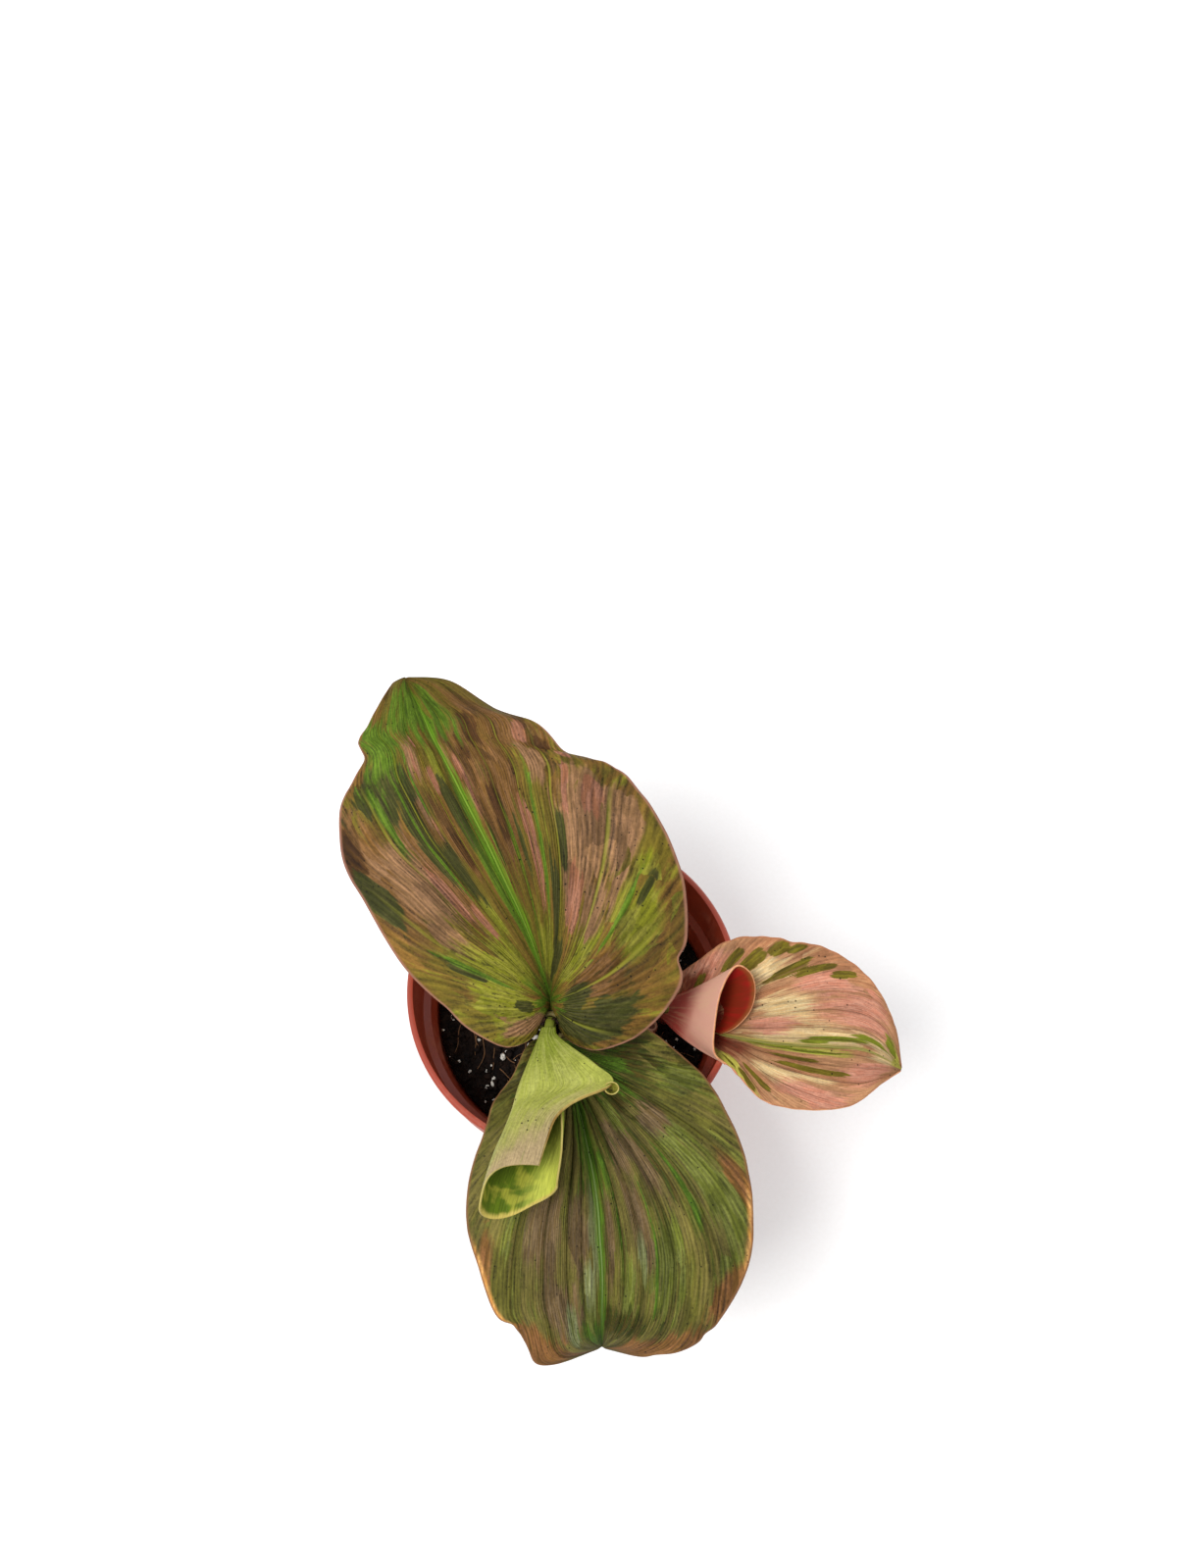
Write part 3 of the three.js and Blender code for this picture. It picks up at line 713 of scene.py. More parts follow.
def variegated(name, tones, layers, seed, rim, contrast=1.0):
    """A layer is a field of patches, its two colours, how soft its borders are and how far they stray."""
    leaf = Finish(name)
    vein, reach, _ = leaf.uv("fan")
    across = leaf.uv("UVMap")[0]
    fold = leaf.field("fold")
    out = abs(across * 2.0 - 1.0)
    broad = leaf.brushed(vein * 5.0, reach * 3.0, seed)
    streak = leaf.brushed(vein * 26.0, reach * 5.0, seed + 3.0, 4.0, 0.65)
    dash = leaf.brushed(vein * 42.0, reach * 14.0, seed + 9.0, 3.0, 0.6)
    hair = leaf.brushed(vein * 95.0, reach * 12.0, seed + 5.0, 3.0, 0.6)
    grain = leaf.noise(leaf.place(), 1500.0, 3.0, 0.7)
    cell = leaf.vector(vein * 13.0 + broad * 1.5, reach * 10.0 + streak * 0.7, seed)
    red, green, blue = leaf.parts(leaf.cells(cell, 1.0, "Color"))
    ragged = (streak - 0.5) * 0.75 + (red - 0.5) * 0.26 + (dash - 0.5) * 0.35

    mottle = leaf.step(broad + (streak - 0.5) * 0.8, 0.42, 0.6)
    tone = leaf.mix(mottle, tones["ground"], tones["second"])
    tone = leaf.mix(leaf.step(streak, 0.54, 0.64) * 0.75, tone, tones["stripe"])
    for key, first, second, softness, wildness in layers:
        mask = leaf.step(leaf.field(key) + ragged * wildness, 0.5 - softness, 0.5 + softness)
        if key == "amber":  # light comes only through the thin margin
            mask = mask * leaf.step(out, 0.945, 0.99)
        pair = leaf.mix(leaf.step(dash, 0.42, 0.58), first, second)
        tone = leaf.mix(mask, tone, pair)
    away = leaf.step(reach, 0.28, 0.45) * contrast
    darker = leaf.step(green + ragged * 0.6, 0.74, 0.82) * away
    paler = leaf.step(blue + ragged * 0.6, 0.78, 0.86) * away
    tone = leaf.mix(darker * 0.8, tone, leaf.tint(tone, 0.62))
    tone = leaf.mix(paler * 0.7, tone, leaf.tint(tone, 1.3))

    fine = abs((fold * 11.0 + broad * 1.5).zigzag(1.0) - 0.5) * 2.0
    main = fold.zigzag(0.5)
    # The term with main darkens the grooves along the main veins and lightens the ridges between them: a painted
    # shade of the pleats. The other terms are the blade's own fine veins, hairs, dashes and grain.
    texture_and_pleat_shade = (fine - 0.5) * 0.4 + (hair - 0.5) * 2.1 + (dash - 0.5) * 1.2
    texture_and_pleat_shade = texture_and_pleat_shade + (grain - 0.5) * 1.1 + (main - 0.25) * 0.6
    tone = leaf.tint(tone, 0.96 + texture_and_pleat_shade * contrast)

    # A line along each main vein in the blade's vein colour: paler on the back leaf, a little darker on the pink
    # leaf, and on the front leaf a dark line that is painted shade in the creases.
    line = (1.0 - leaf.step(main, 0.01, 0.05)) * leaf.step(broad, 0.3, 0.55)
    line = line * leaf.step(reach, 0.12, 0.35) * (1.0 - leaf.step(out, 0.6, 0.95))
    tone = leaf.mix(line * 0.6, tone, tones["vein"])

    scratch = leaf.brushed(vein * 55.0, reach * 24.0, seed + 17.0, 2.0)
    near_foot = leaf.step(reach, 0.06, 0.14) * (1.0 - leaf.step(reach + broad * 0.3, 0.5, 0.75))
    tone = leaf.mix(leaf.step(scratch, 0.62, 0.66) * near_foot * 0.75 * contrast, tone, "#32300e")

    beside = 1.0 - leaf.step(out + (dash - 0.5) * 0.14, 0.008, 0.045)
    lines = leaf.step((out * 90.0 + 1.0).zigzag(1.0), 0.2, 0.8)
    midrib = leaf.tint(colour(tones["midrib"])[:3], 0.5 + hair * 0.7 + lines * 0.45)
    tone = leaf.mix(beside * 0.85, tone, midrib)
    # A thin pale line down the middle of the midrib: partly the midrib's own paler centre, and on the front leaf
    # also a painted highlight along it.
    centre = 1.0 - leaf.step(out, 0.002, 0.012)
    tone = leaf.mix(centre * 0.6, tone, tones["midrib_pale_line_and_highlight"])
    tone = specks(leaf, tone)
    border = leaf.step(out, 0.974, 0.994)
    tone = leaf.mix(border * 0.8, tone, rim)

    height = fine * 0.5 + hair * 0.6 - line * 0.8 + grain * 0.5
    rough = 0.5 + streak * 0.15 + fine * 0.06
    return leaf.coat(tone, rough, leaf.bump(height, 0.00022), Specular_IOR_Level=LEAF_GLOSS)


# %% The finish of an underside, and of a rim
def plain_leaf(name, pale, dark, stripe):
    """Undersides, sheaths and rims: one pale colour that a darker one streaks along the leaf."""
    leaf = Finish(name)
    across, along, _ = leaf.uv("UVMap")
    streak = leaf.brushed(across * stripe, along * 4.0, roughness=0.6)
    grain = leaf.noise(leaf.place(), 1400.0, 2.0)
    tone = leaf.mix(leaf.step(streak, 0.3, 0.7), pale, dark)
    tone = leaf.tint(tone, 0.9 + grain * 0.2)
    bump = leaf.bump(streak * 0.7 + grain * 0.3, 0.00012)
    return leaf.coat(tone, 0.5 + streak * 0.1, bump, Specular_IOR_Level=2 * LEAF_GLOSS)


# %% [markdown]
# ## The leaf that leans back
# The largest blade stands up and back over the far side of the pot. Its ground is olive and brown, with
# salmon and near-black green patches, a bright green midrib and a yellow-green tip.

# %% Lines of the back blade, in mm
BACK_BLADE = {
    "midrib": [
        [-5.5, -8.6, 75], [-5.5, -7, 78], [-6, -5, 81.5], [-7.5, -1.5, 85], [-9.5, 3.5, 89], [-12.5, 10, 93],
        [-16.5, 17.5, 97], [-21, 26, 101], [-26, 35, 104], [-29, 40.5, 106], [-32, 46, 107],
        [-34.5, 50.5, 108], [-36.5, 55, 108.5], [-38.5, 59, 108.5], [-40.5, 63, 108], [-42, 67, 107.5],
    ],
    "left": [
        [-8.4, -10, 75], [-9.4, -15.5, 75.8], [-16, -18.5, 76.5], [-24.5, -15, 78], [-33, -8, 80],
        [-42, 0.5, 84], [-50.5, 13.5, 89], [-56, 23, 94], [-56.5, 33.5, 99], [-54.5, 39.5, 101.5],
        [-51.5, 46, 104], [-52.5, 50, 105], [-50, 54.5, 106.5], [-47, 60.5, 107.5], [-45, 65, 107.8],
        [-42, 67, 107.5],
    ],
    "right": [
        [-2.6, -10, 75], [-2, -15.5, 75.8], [5.5, -19.5, 77], [15.5, -16.5, 79], [24, -8.5, 82],
        [27.5, 3, 87], [27.5, 17, 92], [23.5, 27, 97], [17.5, 37, 100.5], [12, 43, 103], [5, 45.5, 103.5],
        [-2, 48, 104], [-8, 53.5, 106.5], [-19, 58.5, 106.5], [-30.5, 65.5, 108], [-42, 67, 107.5],
    ],
    "veins": [-2, -1.78, -1.56, -1.35, -1.06, -0.62, -0.3, 0, 0.32, 0.6, 0.85, 1.12, 1.38, 1.6, 1.8, 2],
    "bulge": 2.6, "depth": 0.9, "waves": 6, "wave_height": 0.8, "folds_start": (0.12, 0.4),
    "nicks": [
        ("right", 0.318, 0.012, 1.6), ("right", 0.29, 0.02, -0.7), ("left", 0.66, 0.02, 0.8),
        ("left", 0.25, 0.02, 0.5),
    ],
}
BACK_BLADE["patches"] = {
    "gold": [
        (-1.72, 0.32, 0.28, 0.14), (0.8, 0.26, 0.3, 0.09), (1.42, 0.33, 0.08, 0.1),
        (-0.4, 0.62, 0.08, 0.06), (-1.3, 0.28, 0.25, 0.08), (1.56, 0.5, 0.07, 0.1),
        (-1.0, 0.36, 0.1, 0.04),
    ],
    "brown": [
        (0.38, 0.6, 0.26, 0.2), (0.72, 0.62, 0.14, 0.14), (-0.7, 0.48, 0.16, 0.06),
        (-1.26, 0.46, 0.12, 0.1), (-1.48, 0.58, 0.12, 0.12), (0.95, 0.84, 0.26, 0.1),
        (-1.08, 0.52, 0.06, 0.04), (1.6, 0.34, 0.08, 0.1),
    ],
    "tan": [
        (1.26, 0.55, 0.12, 0.16), (1.38, 0.42, 0.07, 0.06), (1.4, 0.6, 0.06, 0.1),
        (-0.8, 0.68, 0.09, 0.06), (-1.42, 0.5, 0.12, 0.1), (-1.86, 0.34, 0.08, 0.1),
        (1.02, 0.7, 0.06, 0.08), (-0.95, 0.55, 0.04, 0.05),
    ],
    "pink": [
        (-0.58, 0.59, 0.08, 0.045), (-0.78, 0.67, 0.03, 0.05), (-1.2, 0.36, 0.04, 0.03),
        (-1.3, 0.44, 0.04, 0.05), (0.28, 0.57, 0.06, 0.08), (0.85, 0.44, 0.06, 0.1),
        (1.25, 0.41, 0.06, 0.06), (1.32, 0.64, 0.04, 0.05), (1.04, 0.85, 0.05, 0.05),
        (1.22, 0.8, 0.03, 0.04), (1.2, 0.62, 0.02, 0.08), (-0.9, 0.5, 0.02, 0.03),
        (0.12, 0.66, 0.04, 0.05), (-0.66, 0.72, 0.03, 0.03),
    ],
    "maroon": [
        (0.54, 0.52, 0.08, 0.05), (0.62, 0.78, 0.08, 0.07), (1.15, 0.84, 0.05, 0.04),
        (-1.52, 0.66, 0.04, 0.04), (0.44, 0.7, 0.04, 0.05), (-0.72, 0.46, 0.05, 0.03),
    ],
    "dark": [
        (-0.43, 0.51, 0.13, 0.07), (-0.46, 0.585, 0.03, 0.02), (-1.24, 0.67, 0.17, 0.09),
        (-1.02, 0.62, 0.11, 0.07), (-1.1, 0.52, 0.1, 0.08), (-0.98, 0.44, 0.13, 0.06),
        (-0.35, 0.38, 0.14, 0.08), (-1.56, 0.6, 0.04, 0.06), (0.72, 0.455, 0.025, 0.045),
        (1.06, 0.36, 0.05, 0.09), (1.16, 0.505, 0.03, 0.055), (1.02, 0.43, 0.02, 0.05),
        (1.53, 0.55, 0.012, 0.05), (-1.72, 0.26, 0.05, 0.04), (1.14, 0.25, 0.1, 0.07),
        (1.8, 0.36, 0.12, 0.12), (1.7, 0.26, 0.12, 0.06), (-1.62, 0.42, 0.015, 0.06),
        (0.3, 0.46, 0.03, 0.04),
    ],
    "green": [
        (-0.03, 0.55, 0.1, 0.5), (-0.35, 0.84, 0.6, 0.12), (-1.12, 0.8, 0.18, 0.12),
        (0.95, 0.5, 0.02, 0.2), (0.0, 0.1, 2.0, 0.09), (-0.3, 0.36, 0.2, 0.12), (-1.32, 0.62, 0.02, 0.08),
        (-1.6, 0.38, 0.012, 0.1), (0.35, 0.86, 0.14, 0.12), (0.6, 0.36, 0.03, 0.14),
        (1.5, 0.44, 0.006, 0.1), (-1.13, 0.5, 0.015, 0.12), (-0.9, 0.62, 0.02, 0.08),
        (-0.18, 0.3, 0.12, 0.2),
    ],
}

# %% Build the back leaf
BACK_RIM = "#9a6a58"
back_upper = variegated(
    "back_leaf_upper",
    {"ground": "#5f5218", "second": "#6b4d20", "stripe": "#6f6e1c", "vein": "#8a8a28",
     "midrib": "#5f8a1a", "midrib_pale_line_and_highlight": "#a6c44c"},
    [
        ("gold", "#7e7a2a", "#666614", 0.12, 1.6),
        ("brown", "#74522e", "#5a3e18", 0.1, 1.4),
        ("tan", "#8a6646", "#705234", 0.1, 1.3),
        ("pink", "#96664e", "#7f5238", 0.05, 0.9),
        ("maroon", "#4f3414", "#402812", 0.06, 1.0),
        ("dark", "#44421c", "#32330f", 0.05, 0.9),
        ("green", "#58701c", "#42580e", 0.14, 1.5),
    ],
    1.0, BACK_RIM,
)
back_under = plain_leaf("back_leaf_under", "#9a7a6a", "#7d8a4a", 60.0)
leaf_rim = plain_leaf("leaf_rim", "#a87a66", "#8a5a48", 60.0)
leaf_sheet(
    "leaf_back_blade", blade_surface(BACK_BLADE), 200, 170, "leaf_back", (back_upper, back_under, leaf_rim),
    blade_fields(BACK_BLADE),
)

# %% [markdown]
# ## Sheaths and stalks
# Each leaf's stalk is a sheath at its foot that wraps the next younger leaf's. On the main shoot the back
# leaf's sheath is the back half of a tube, the front leaf's the front half, and the young leaf's stalk
# stands between them.

# %% Sheaths
SHEATH_RADIUS = 2.5
SHEATH_THICKNESS = 1.1
STEM_FOOT = 36.3
# First and last angle of each half tube in degrees, and the height of its top in mm
SHEATHS = {"leaf_back": (8, 172, 75.4), "leaf_front": (190, 350, 67)}
FURL_AXIS = [
    [-5.5, -12.3, 76.5], [-6, -17.5, 80], [-6.5, -24, 83.5], [-7, -31, 86.5], [-7.5, -37, 88.5],
    [-9, -43, 90], [-11, -49.5, 91], [-12, -54.5, 91.5], [-13.5, -61, 91],
]


def sheath_surface(first_angle, last_angle, top):
    """Part of a tube that follows the shoot up to its top."""

    def surface(u, v):
        angle = np.radians(first_angle + (last_angle - first_angle) * v)
        x = MAIN_SHOOT[0] + (FURL_AXIS[0][0] - MAIN_SHOOT[0]) * u + SHEATH_RADIUS * np.cos(angle)
        y = MAIN_SHOOT[1] + (FURL_AXIS[0][1] - MAIN_SHOOT[1]) * u + SHEATH_RADIUS * np.sin(angle)
        return np.stack([x, y, STEM_FOOT + (top - STEM_FOOT) * u], -1)

    return surface


sheath_skin = plain_leaf("sheath_skin", "#7c5a44", "#66702c", 40.0)
sheath_skins = (sheath_skin, sheath_skin, sheath_skin)
for node, half in SHEATHS.items():
    tube = sheath_surface(*half)
    leaf_sheet(node + "_sheath", tube, 60, 40, node, sheath_skins, thickness=SHEATH_THICKNESS)

# %% [markdown]
# ## The leaf that bends to the front
# The second broad blade lies nearly flat and dips at its tip. It is greyer than the first, with deep
# folds along the veins, a green heart and midrib, and rusty margins that are orange where the light comes
# through.

# %% Lines of the front blade, in mm
FRONT_BLADE = {
    "midrib": [
        [-4.6, -14.6, 66], [-3.5, -17.5, 69], [-2, -22.5, 71.5], [0, -28, 73.5], [2, -34.5, 75],
        [3.5, -41.5, 76], [5, -48.5, 76.5], [6, -55.5, 76.5], [6.5, -62.5, 75.5], [7, -69, 73.5],
        [7, -76, 70.5], [7, -80.5, 66], [7, -84.5, 59],
    ],
    "left": [
        [-6.5, -14.6, 66], [-9.5, -14.5, 67], [-12, -17.5, 68.5], [-14.5, -24, 70], [-19, -30.5, 71],
        [-21, -38.5, 71.5], [-24, -48, 71.5], [-24.5, -58, 70.5], [-21.5, -67.5, 69], [-17.5, -77.5, 66.5],
        [-12, -81.5, 65], [-6, -88, 62], [7, -84.5, 59],
    ],
    "right": [
        [-2.8, -14.6, 66], [5.5, -9.5, 67], [16, -11, 68], [24.5, -17, 70], [31, -23.5, 71.5],
        [36, -31.5, 72], [40.5, -42, 72.5], [42, -53.5, 72], [41, -66.5, 70], [35, -77.5, 67], [28, -84, 65],
        [18, -86.5, 62], [7, -84.5, 59],
    ],
    "veins": [-2, -1.7, -1.4, -1.15, -0.88, -0.62, -0.42, -0.2, 0, 0.2, 0.42, 0.62, 0.92, 1.22, 1.45, 1.7, 2],
    "bulge": 2.2, "depth": 1.3, "waves": 5, "wave_height": 0.7, "folds_start": (0.12, 0.4),
    "nicks": [
        ("right", 0.9, 0.02, 0.9), ("right", 0.8, 0.015, 0.7), ("left", 0.8, 0.02, 0.8),
        ("left", 0.9, 0.02, -0.8),
    ],
}
FRONT_BLADE["patches"] = {
    "mauve": [
        (-0.45, 0.66, 0.14, 0.08), (0.7, 0.46, 0.16, 0.09), (0.64, 0.6, 0.09, 0.1),
        (0.95, 0.52, 0.1, 0.08), (-0.9, 0.66, 0.2, 0.1), (1.35, 0.46, 0.08, 0.05),
        (0.25, 0.66, 0.06, 0.1), (-0.7, 0.84, 0.2, 0.08),
    ],
    "moss": [
        (1.3, 0.62, 0.12, 0.2), (0.86, 0.76, 0.12, 0.12), (0.5, 0.8, 0.12, 0.1),
        (-0.35, 0.86, 0.16, 0.08), (1.0, 0.4, 0.14, 0.08), (-1.2, 0.6, 0.1, 0.12), (1.62, 0.5, 0.08, 0.1),
    ],
    # The pale patches are a painted sheen: greyish-white highlights left of the midrib.
    "pale": [
        (-0.18, 0.64, 0.1, 0.13), (-0.32, 0.78, 0.08, 0.06), (-0.62, 0.9, 0.06, 0.06),
        (0.62, 0.7, 0.04, 0.05),
    ],
    # The dark patches near the foot on the right lie under the back leaf's right lobe: partly the leaf's own
    # dark green, partly a painted shadow of that lobe.
    "dark": [
        (1.62, 0.36, 0.16, 0.1), (0.55, 0.4, 0.08, 0.08), (1.25, 0.36, 0.14, 0.06),
        (-1.75, 0.42, 0.2, 0.1), (0.4, 0.88, 0.4, 0.05), (1.08, 0.5, 0.03, 0.12),
    ],
    "green": [
        (0.0, 0.36, 0.42, 0.14), (0.0, 0.75, 0.1, 0.3), (-0.1, 0.94, 0.34, 0.05), (0.0, 0.2, 2.0, 0.1),
        (1.5, 0.3, 0.2, 0.08), (1.17, 0.6, 0.015, 0.14), (0.77, 0.66, 0.01, 0.16),
        (0.4, 0.6, 0.015, 0.16),
    ],
    "rust": [
        (-1.05, 0.99, 0.25, 0.06), (1.0, 0.99, 0.3, 0.07), (1.42, 0.74, 0.03, 0.1),
        (-1.3, 0.8, 0.04, 0.06), (1.28, 0.88, 0.1, 0.05),
    ],
    "amber": [(-1.27, 0.86, 0.1, 0.1), (1.37, 0.79, 0.06, 0.07)],
}

# %% Build the front leaf
front_upper = variegated(
    "front_leaf_upper",
    # Its dark vein colour is painted shade in the creases along the main veins.
    {"ground": "#5f5628", "second": "#54501c", "stripe": "#66682a", "vein": "#3e3f12",
     "midrib": "#54781c", "midrib_pale_line_and_highlight": "#a6bc74"},
    [
        ("moss", "#686c30", "#50551a", 0.14, 1.6),
        ("mauve", "#6e5a3e", "#584628", 0.14, 1.4),
        # pale is a painted sheen
        ("pale", "#82855c", "#6c7040", 0.2, 1.4),
        # dark is partly a painted shadow of the back leaf's lobe, near the foot
        ("dark", "#463b12", "#343a0e", 0.12, 1.4),
        ("green", "#4e6a1a", "#3a500e", 0.14, 1.6),
        ("rust", "#7f5630", "#64451e", 0.14, 1.2),
        ("amber", "#e0a862", "#c88a44", 0.2, 0.4),
    ],
    7.0, "#80583a",
)
front_under = plain_leaf("front_leaf_under", "#8a6a5c", "#75824a", 60.0)
leaf_sheet(
    "leaf_front_blade", blade_surface(FRONT_BLADE), 190, 170, "leaf_front", (front_upper, front_under, leaf_rim),
    blade_fields(FRONT_BLADE), upside_down=True,
)

# %% [markdown]
# ## The furled young leaf
# The youngest leaf of the main shoot is a roll that lies over the front leaf. Its outer flap wraps over
# to the right, so what shows is mostly the pale underside, with the green upper side inside the roll's
# mouth. A turned lip and a small curl end the flap.

# %% Sizes of the roll, in mm
FURL_HALF_WIDTH = [1.5, 2.1, 3.6, 5.3, 6.1, 6.4, 6.8, 7.2, 7]
FURL_FLATNESS = 0.72
FURL_START = 0.06
FURL_END = 0.9994
FURL_INNER_ANGLE = 50
FURL_FLARE = 0.42
FLAP_MARGIN = [
    [-4.2, -14.5, 79.5], [-3.6, -17, 82], [0, -20.5, 84.5], [5.5, -25, 87], [9.5, -29.5, 88.5], [1, -34, 91.5],
    [-3.5, -38, 93.5], [-5.5, -43.5, 95], [-7, -49, 95.8],
]
FLAP_LIFT = 1.8
FURL_REACH = [0.8, 0.87, 0.96, 0.99, 0.96, 0.86, 0.8, 0.77, 0.75]
CURL_CENTRE = (9.2, -31.0, 88.2)
CURL_RADIUS = 1.15
CURL_THICKNESS = 0.3
CURL_HEIGHT = 2.6
CURL_START = 150
CURL_TURN = 310
CURL_FOOT = 0.25
CURL_FLARE = 0.95
CURL_STRETCH = 1.15


def rolled(s, degrees, size):
    """Places on the roll at shares s of its axis, at an angle round it."""
    nearby = 0.0005
    tangent = unit(through(FURL_AXIS, s + nearby) - through(FURL_AXIS, s - nearby))
    right = unit(np.array([1.0, 0, 0]) - tangent * tangent[..., :1])
    up = np.cross(tangent, right)
    half = through(FURL_HALF_WIDTH, s) * size[..., None]
    angle = np.radians(degrees)[..., None]
    return through(FURL_AXIS, s) + half * (right * np.cos(angle) + up * FURL_FLATNESS * np.sin(angle))


def furl_surface(u, v):
    """The wall of the roll for v up to 0.5, and beyond it the flap that wraps over to the right."""
    s = np.minimum(FURL_START + (through(FURL_REACH, v)[..., 0] - FURL_START) * u, FURL_END)
    turn = np.clip(2 * v, 0, 1)
    opening = smooth(u, 0.3, 0.95)
    inner = FURL_INNER_ANGLE * (1 - opening)
    width = 0.8 + 0.2 * turn + FURL_FLARE * opening * (1 - turn) ** 2
    wrapped = rolled(s, inner + (-180 - inner) * turn, width)
    start = rolled(s, np.full_like(s, -180.0), np.ones_like(s))
    end = through(FLAP_MARGIN, u)
    shoulder = np.stack([start[..., 0], (start[..., 1] + end[..., 1]) / 2, end[..., 2] + FLAP_LIFT], -1)
    t = np.clip(2 * v - 1, 0, 1)[..., None]
    flap = start * (1 - t) ** 2 + 2 * shoulder * t * (1 - t) + end * t**2
    return np.where((v <= 0.5)[..., None], wrapped, flap)


def curl_surface(u, v):
    """A small open cup at the corner of the flap."""
    angle = np.radians(CURL_START - CURL_TURN * v)
    radius = CURL_RADIUS * (CURL_FOOT + CURL_FLARE * np.sqrt(u))
    x = CURL_CENTRE[0] + CURL_STRETCH * radius * np.cos(angle)
    y = CURL_CENTRE[1] + radius * np.sin(angle)
    return np.stack([x, y, CURL_CENTRE[2] + CURL_HEIGHT * (u - 0.5)], -1)


# %% Finishes of the young leaf
young = Finish("young_leaf_under")
across, along, _ = young.uv("UVMap")
streak = young.brushed(across * 34.0, along * 3.0, detail=4.0, roughness=0.65)
hair = young.brushed(across * 150.0, along * 7.0, roughness=0.6)
cloud = young.noise(young.place(), 110.0, 3.0)
grain = young.noise(young.place(), 1500.0, 3.0, 0.7)
tone = young.mix(young.step(along + (cloud - 0.5) * 0.5, 0.05, 0.5), "#6f7c20", "#989c44")
tone = young.mix(young.step(streak, 0.45, 0.62) * 0.7, tone, "#a8a85a")
blush = young.step(along + (cloud - 0.5) * 0.5 + (streak - 0.5) * 0.3 + (across - 0.75) * 0.6, 0.6, 1.0)
tone = young.mix(blush * 0.85, tone, "#a48a6c")
tone = young.mix(young.step(streak, 0.55, 0.7) * 0.5, tone, "#74822a")
lit = young.step(across, 0.44, 0.51) * (1.0 - young.step(across, 0.53, 0.63)) * young.step(along, 0.25, 0.5)
tone = young.mix(lit * 0.6, tone, "#bab570")
wall = (1.0 - young.step(across, 0.3, 0.42)) * young.step(along, 0.3, 0.6)
tone = young.mix(wall * 0.7, tone, "#8c9a2c")
tone = young.tint(tone, 0.9 + (hair - 0.5) * 1.2 + (grain - 0.5) * 0.9 + (cloud - 0.5) * 0.5)
tone = specks(young, tone)
young_bump = young.bump(hair * 0.7 + grain * 0.5, 0.0002)
young_under = young.coat(tone, 0.5 + streak * 0.1, young_bump, Specular_IOR_Level=LEAF_GLOSS)

inner = Finish("young_leaf_upper")
across, along, _ = inner.uv("UVMap")
streak = inner.brushed(across * 22.0, along * 5.0, detail=4.0, roughness=0.65)
hair = inner.brushed(across * 120.0, along * 9.0, detail=2.0)
blotch = inner.brushed(across * 7.0 + along * 5.0, along * 9.0, detail=2.0)
deep = inner.step(blotch + (streak - 0.5) * 0.35 + (along - 0.9) * 0.5, 0.42, 0.58)
tone = inner.mix(deep, "#4e600c", "#85862a")
side = 1.0 - inner.step(across, 0.1, 0.26)
tone = inner.mix(side * 0.85, tone, "#bcc050")
tone = inner.mix(inner.step(along + (streak - 0.5) * 0.04, 0.97, 0.995), tone, "#b8a452")
tone = inner.tint(tone, 0.97 + (hair - 0.5) * 1.2)
young_upper = inner.coat(tone, 0.5, inner.bump(hair, 0.0002), Specular_IOR_Level=LEAF_GLOSS)
young_rim = plain_leaf("young_leaf_rim", "#b0a45c", "#94803c", 4.0)

# %% Build the roll and the curl
young_skins = (young_upper, young_under, young_rim)
leaf_sheet("leaf_young_roll", furl_surface, 120, 220, "leaf_young", young_skins)
curl_skin = plain_leaf("curl_skin", "#8f8c38", "#6c681e", 6.0)
curl_skins = (curl_skin, curl_skin, young_rim)
leaf_sheet("leaf_young_curl", curl_surface, 14, 60, "leaf_young", curl_skins, thickness=CURL_THICKNESS)


# %% A round stalk along a line
def stalk(name, points, radii, node, finish):
    """A solid rod. Its points and radii are in mm."""
    line = bpy.data.curves.new(name, "CURVE")
    line.dimensions = "3D"
    line.bevel_depth = MM
    line.bevel_resolution = 6
    line.use_fill_caps = True
    spline = line.splines.new("POLY")
    shares = np.linspace(0, 1, 60)
    spline.points.add(len(shares) - 1)
    for point, place, radius in zip(spline.points, through(points, shares), through(radii, shares)):
        point.co = (*(place * MM), 1.0)
        point.radius = radius[0]
    rod = add_object("rod", line)
    piece = add_object(name, settled(rod))
    bpy.data.objects.remove(rod)
    return finish_piece(piece, node, finish)


stem = Finish("stalk_skin")
x, y, z = stem.parts(stem.place())
streak = stem.brushed(x * 900.0, y * 900.0, z * 60.0)
tone = stem.mix(stem.step(z + (streak - 0.5) * 0.02, 0.048, 0.07), "#8a4a3e", "#6c7424")
stalk_skin = stem.coat(tone, 0.42, stem.bump(streak, 0.0001))
shoot = np.array([*MAIN_SHOOT, STEM_FOOT])
lower = [list(shoot + (np.array(FURL_AXIS[0]) - shoot) * share) for share in (0, 0.5, 0.86)]
stalk("leaf_young_stalk", lower + FURL_AXIS[:3], [1.3, 1.3, 1.3, 1.2, 1.15, 0.5], "leaf_young", stalk_skin)

# %% The flap's turned lip, from the curl to the roll's mouth
LIP_DROP = 0.4
LIP_RADII = [0.4, 0.46, 0.5, 0.46, 0.36, 0.2]
lip_line = through(FLAP_MARGIN, np.linspace(0.5, 1, 12)) - [0, 0, LIP_DROP]
lip = Finish("turned_lip")
mixed = lip.noise(lip.place(), 300.0, 4.0, 0.6)
tone = lip.mix(lip.step(mixed, 0.3, 0.7), "#b09c58", "#82622c")
turned_lip = lip.coat(tone, 0.5, lip.bump(mixed, 0.0001), Specular_IOR_Level=LEAF_GLOSS)
stalk("leaf_young_lip", lip_line, LIP_RADII, "leaf_young", turned_lip)

# %% [markdown]
# Grit and dry scales have gathered where the stalks meet, at the foot of the back leaf. They are small
# flat flakes.

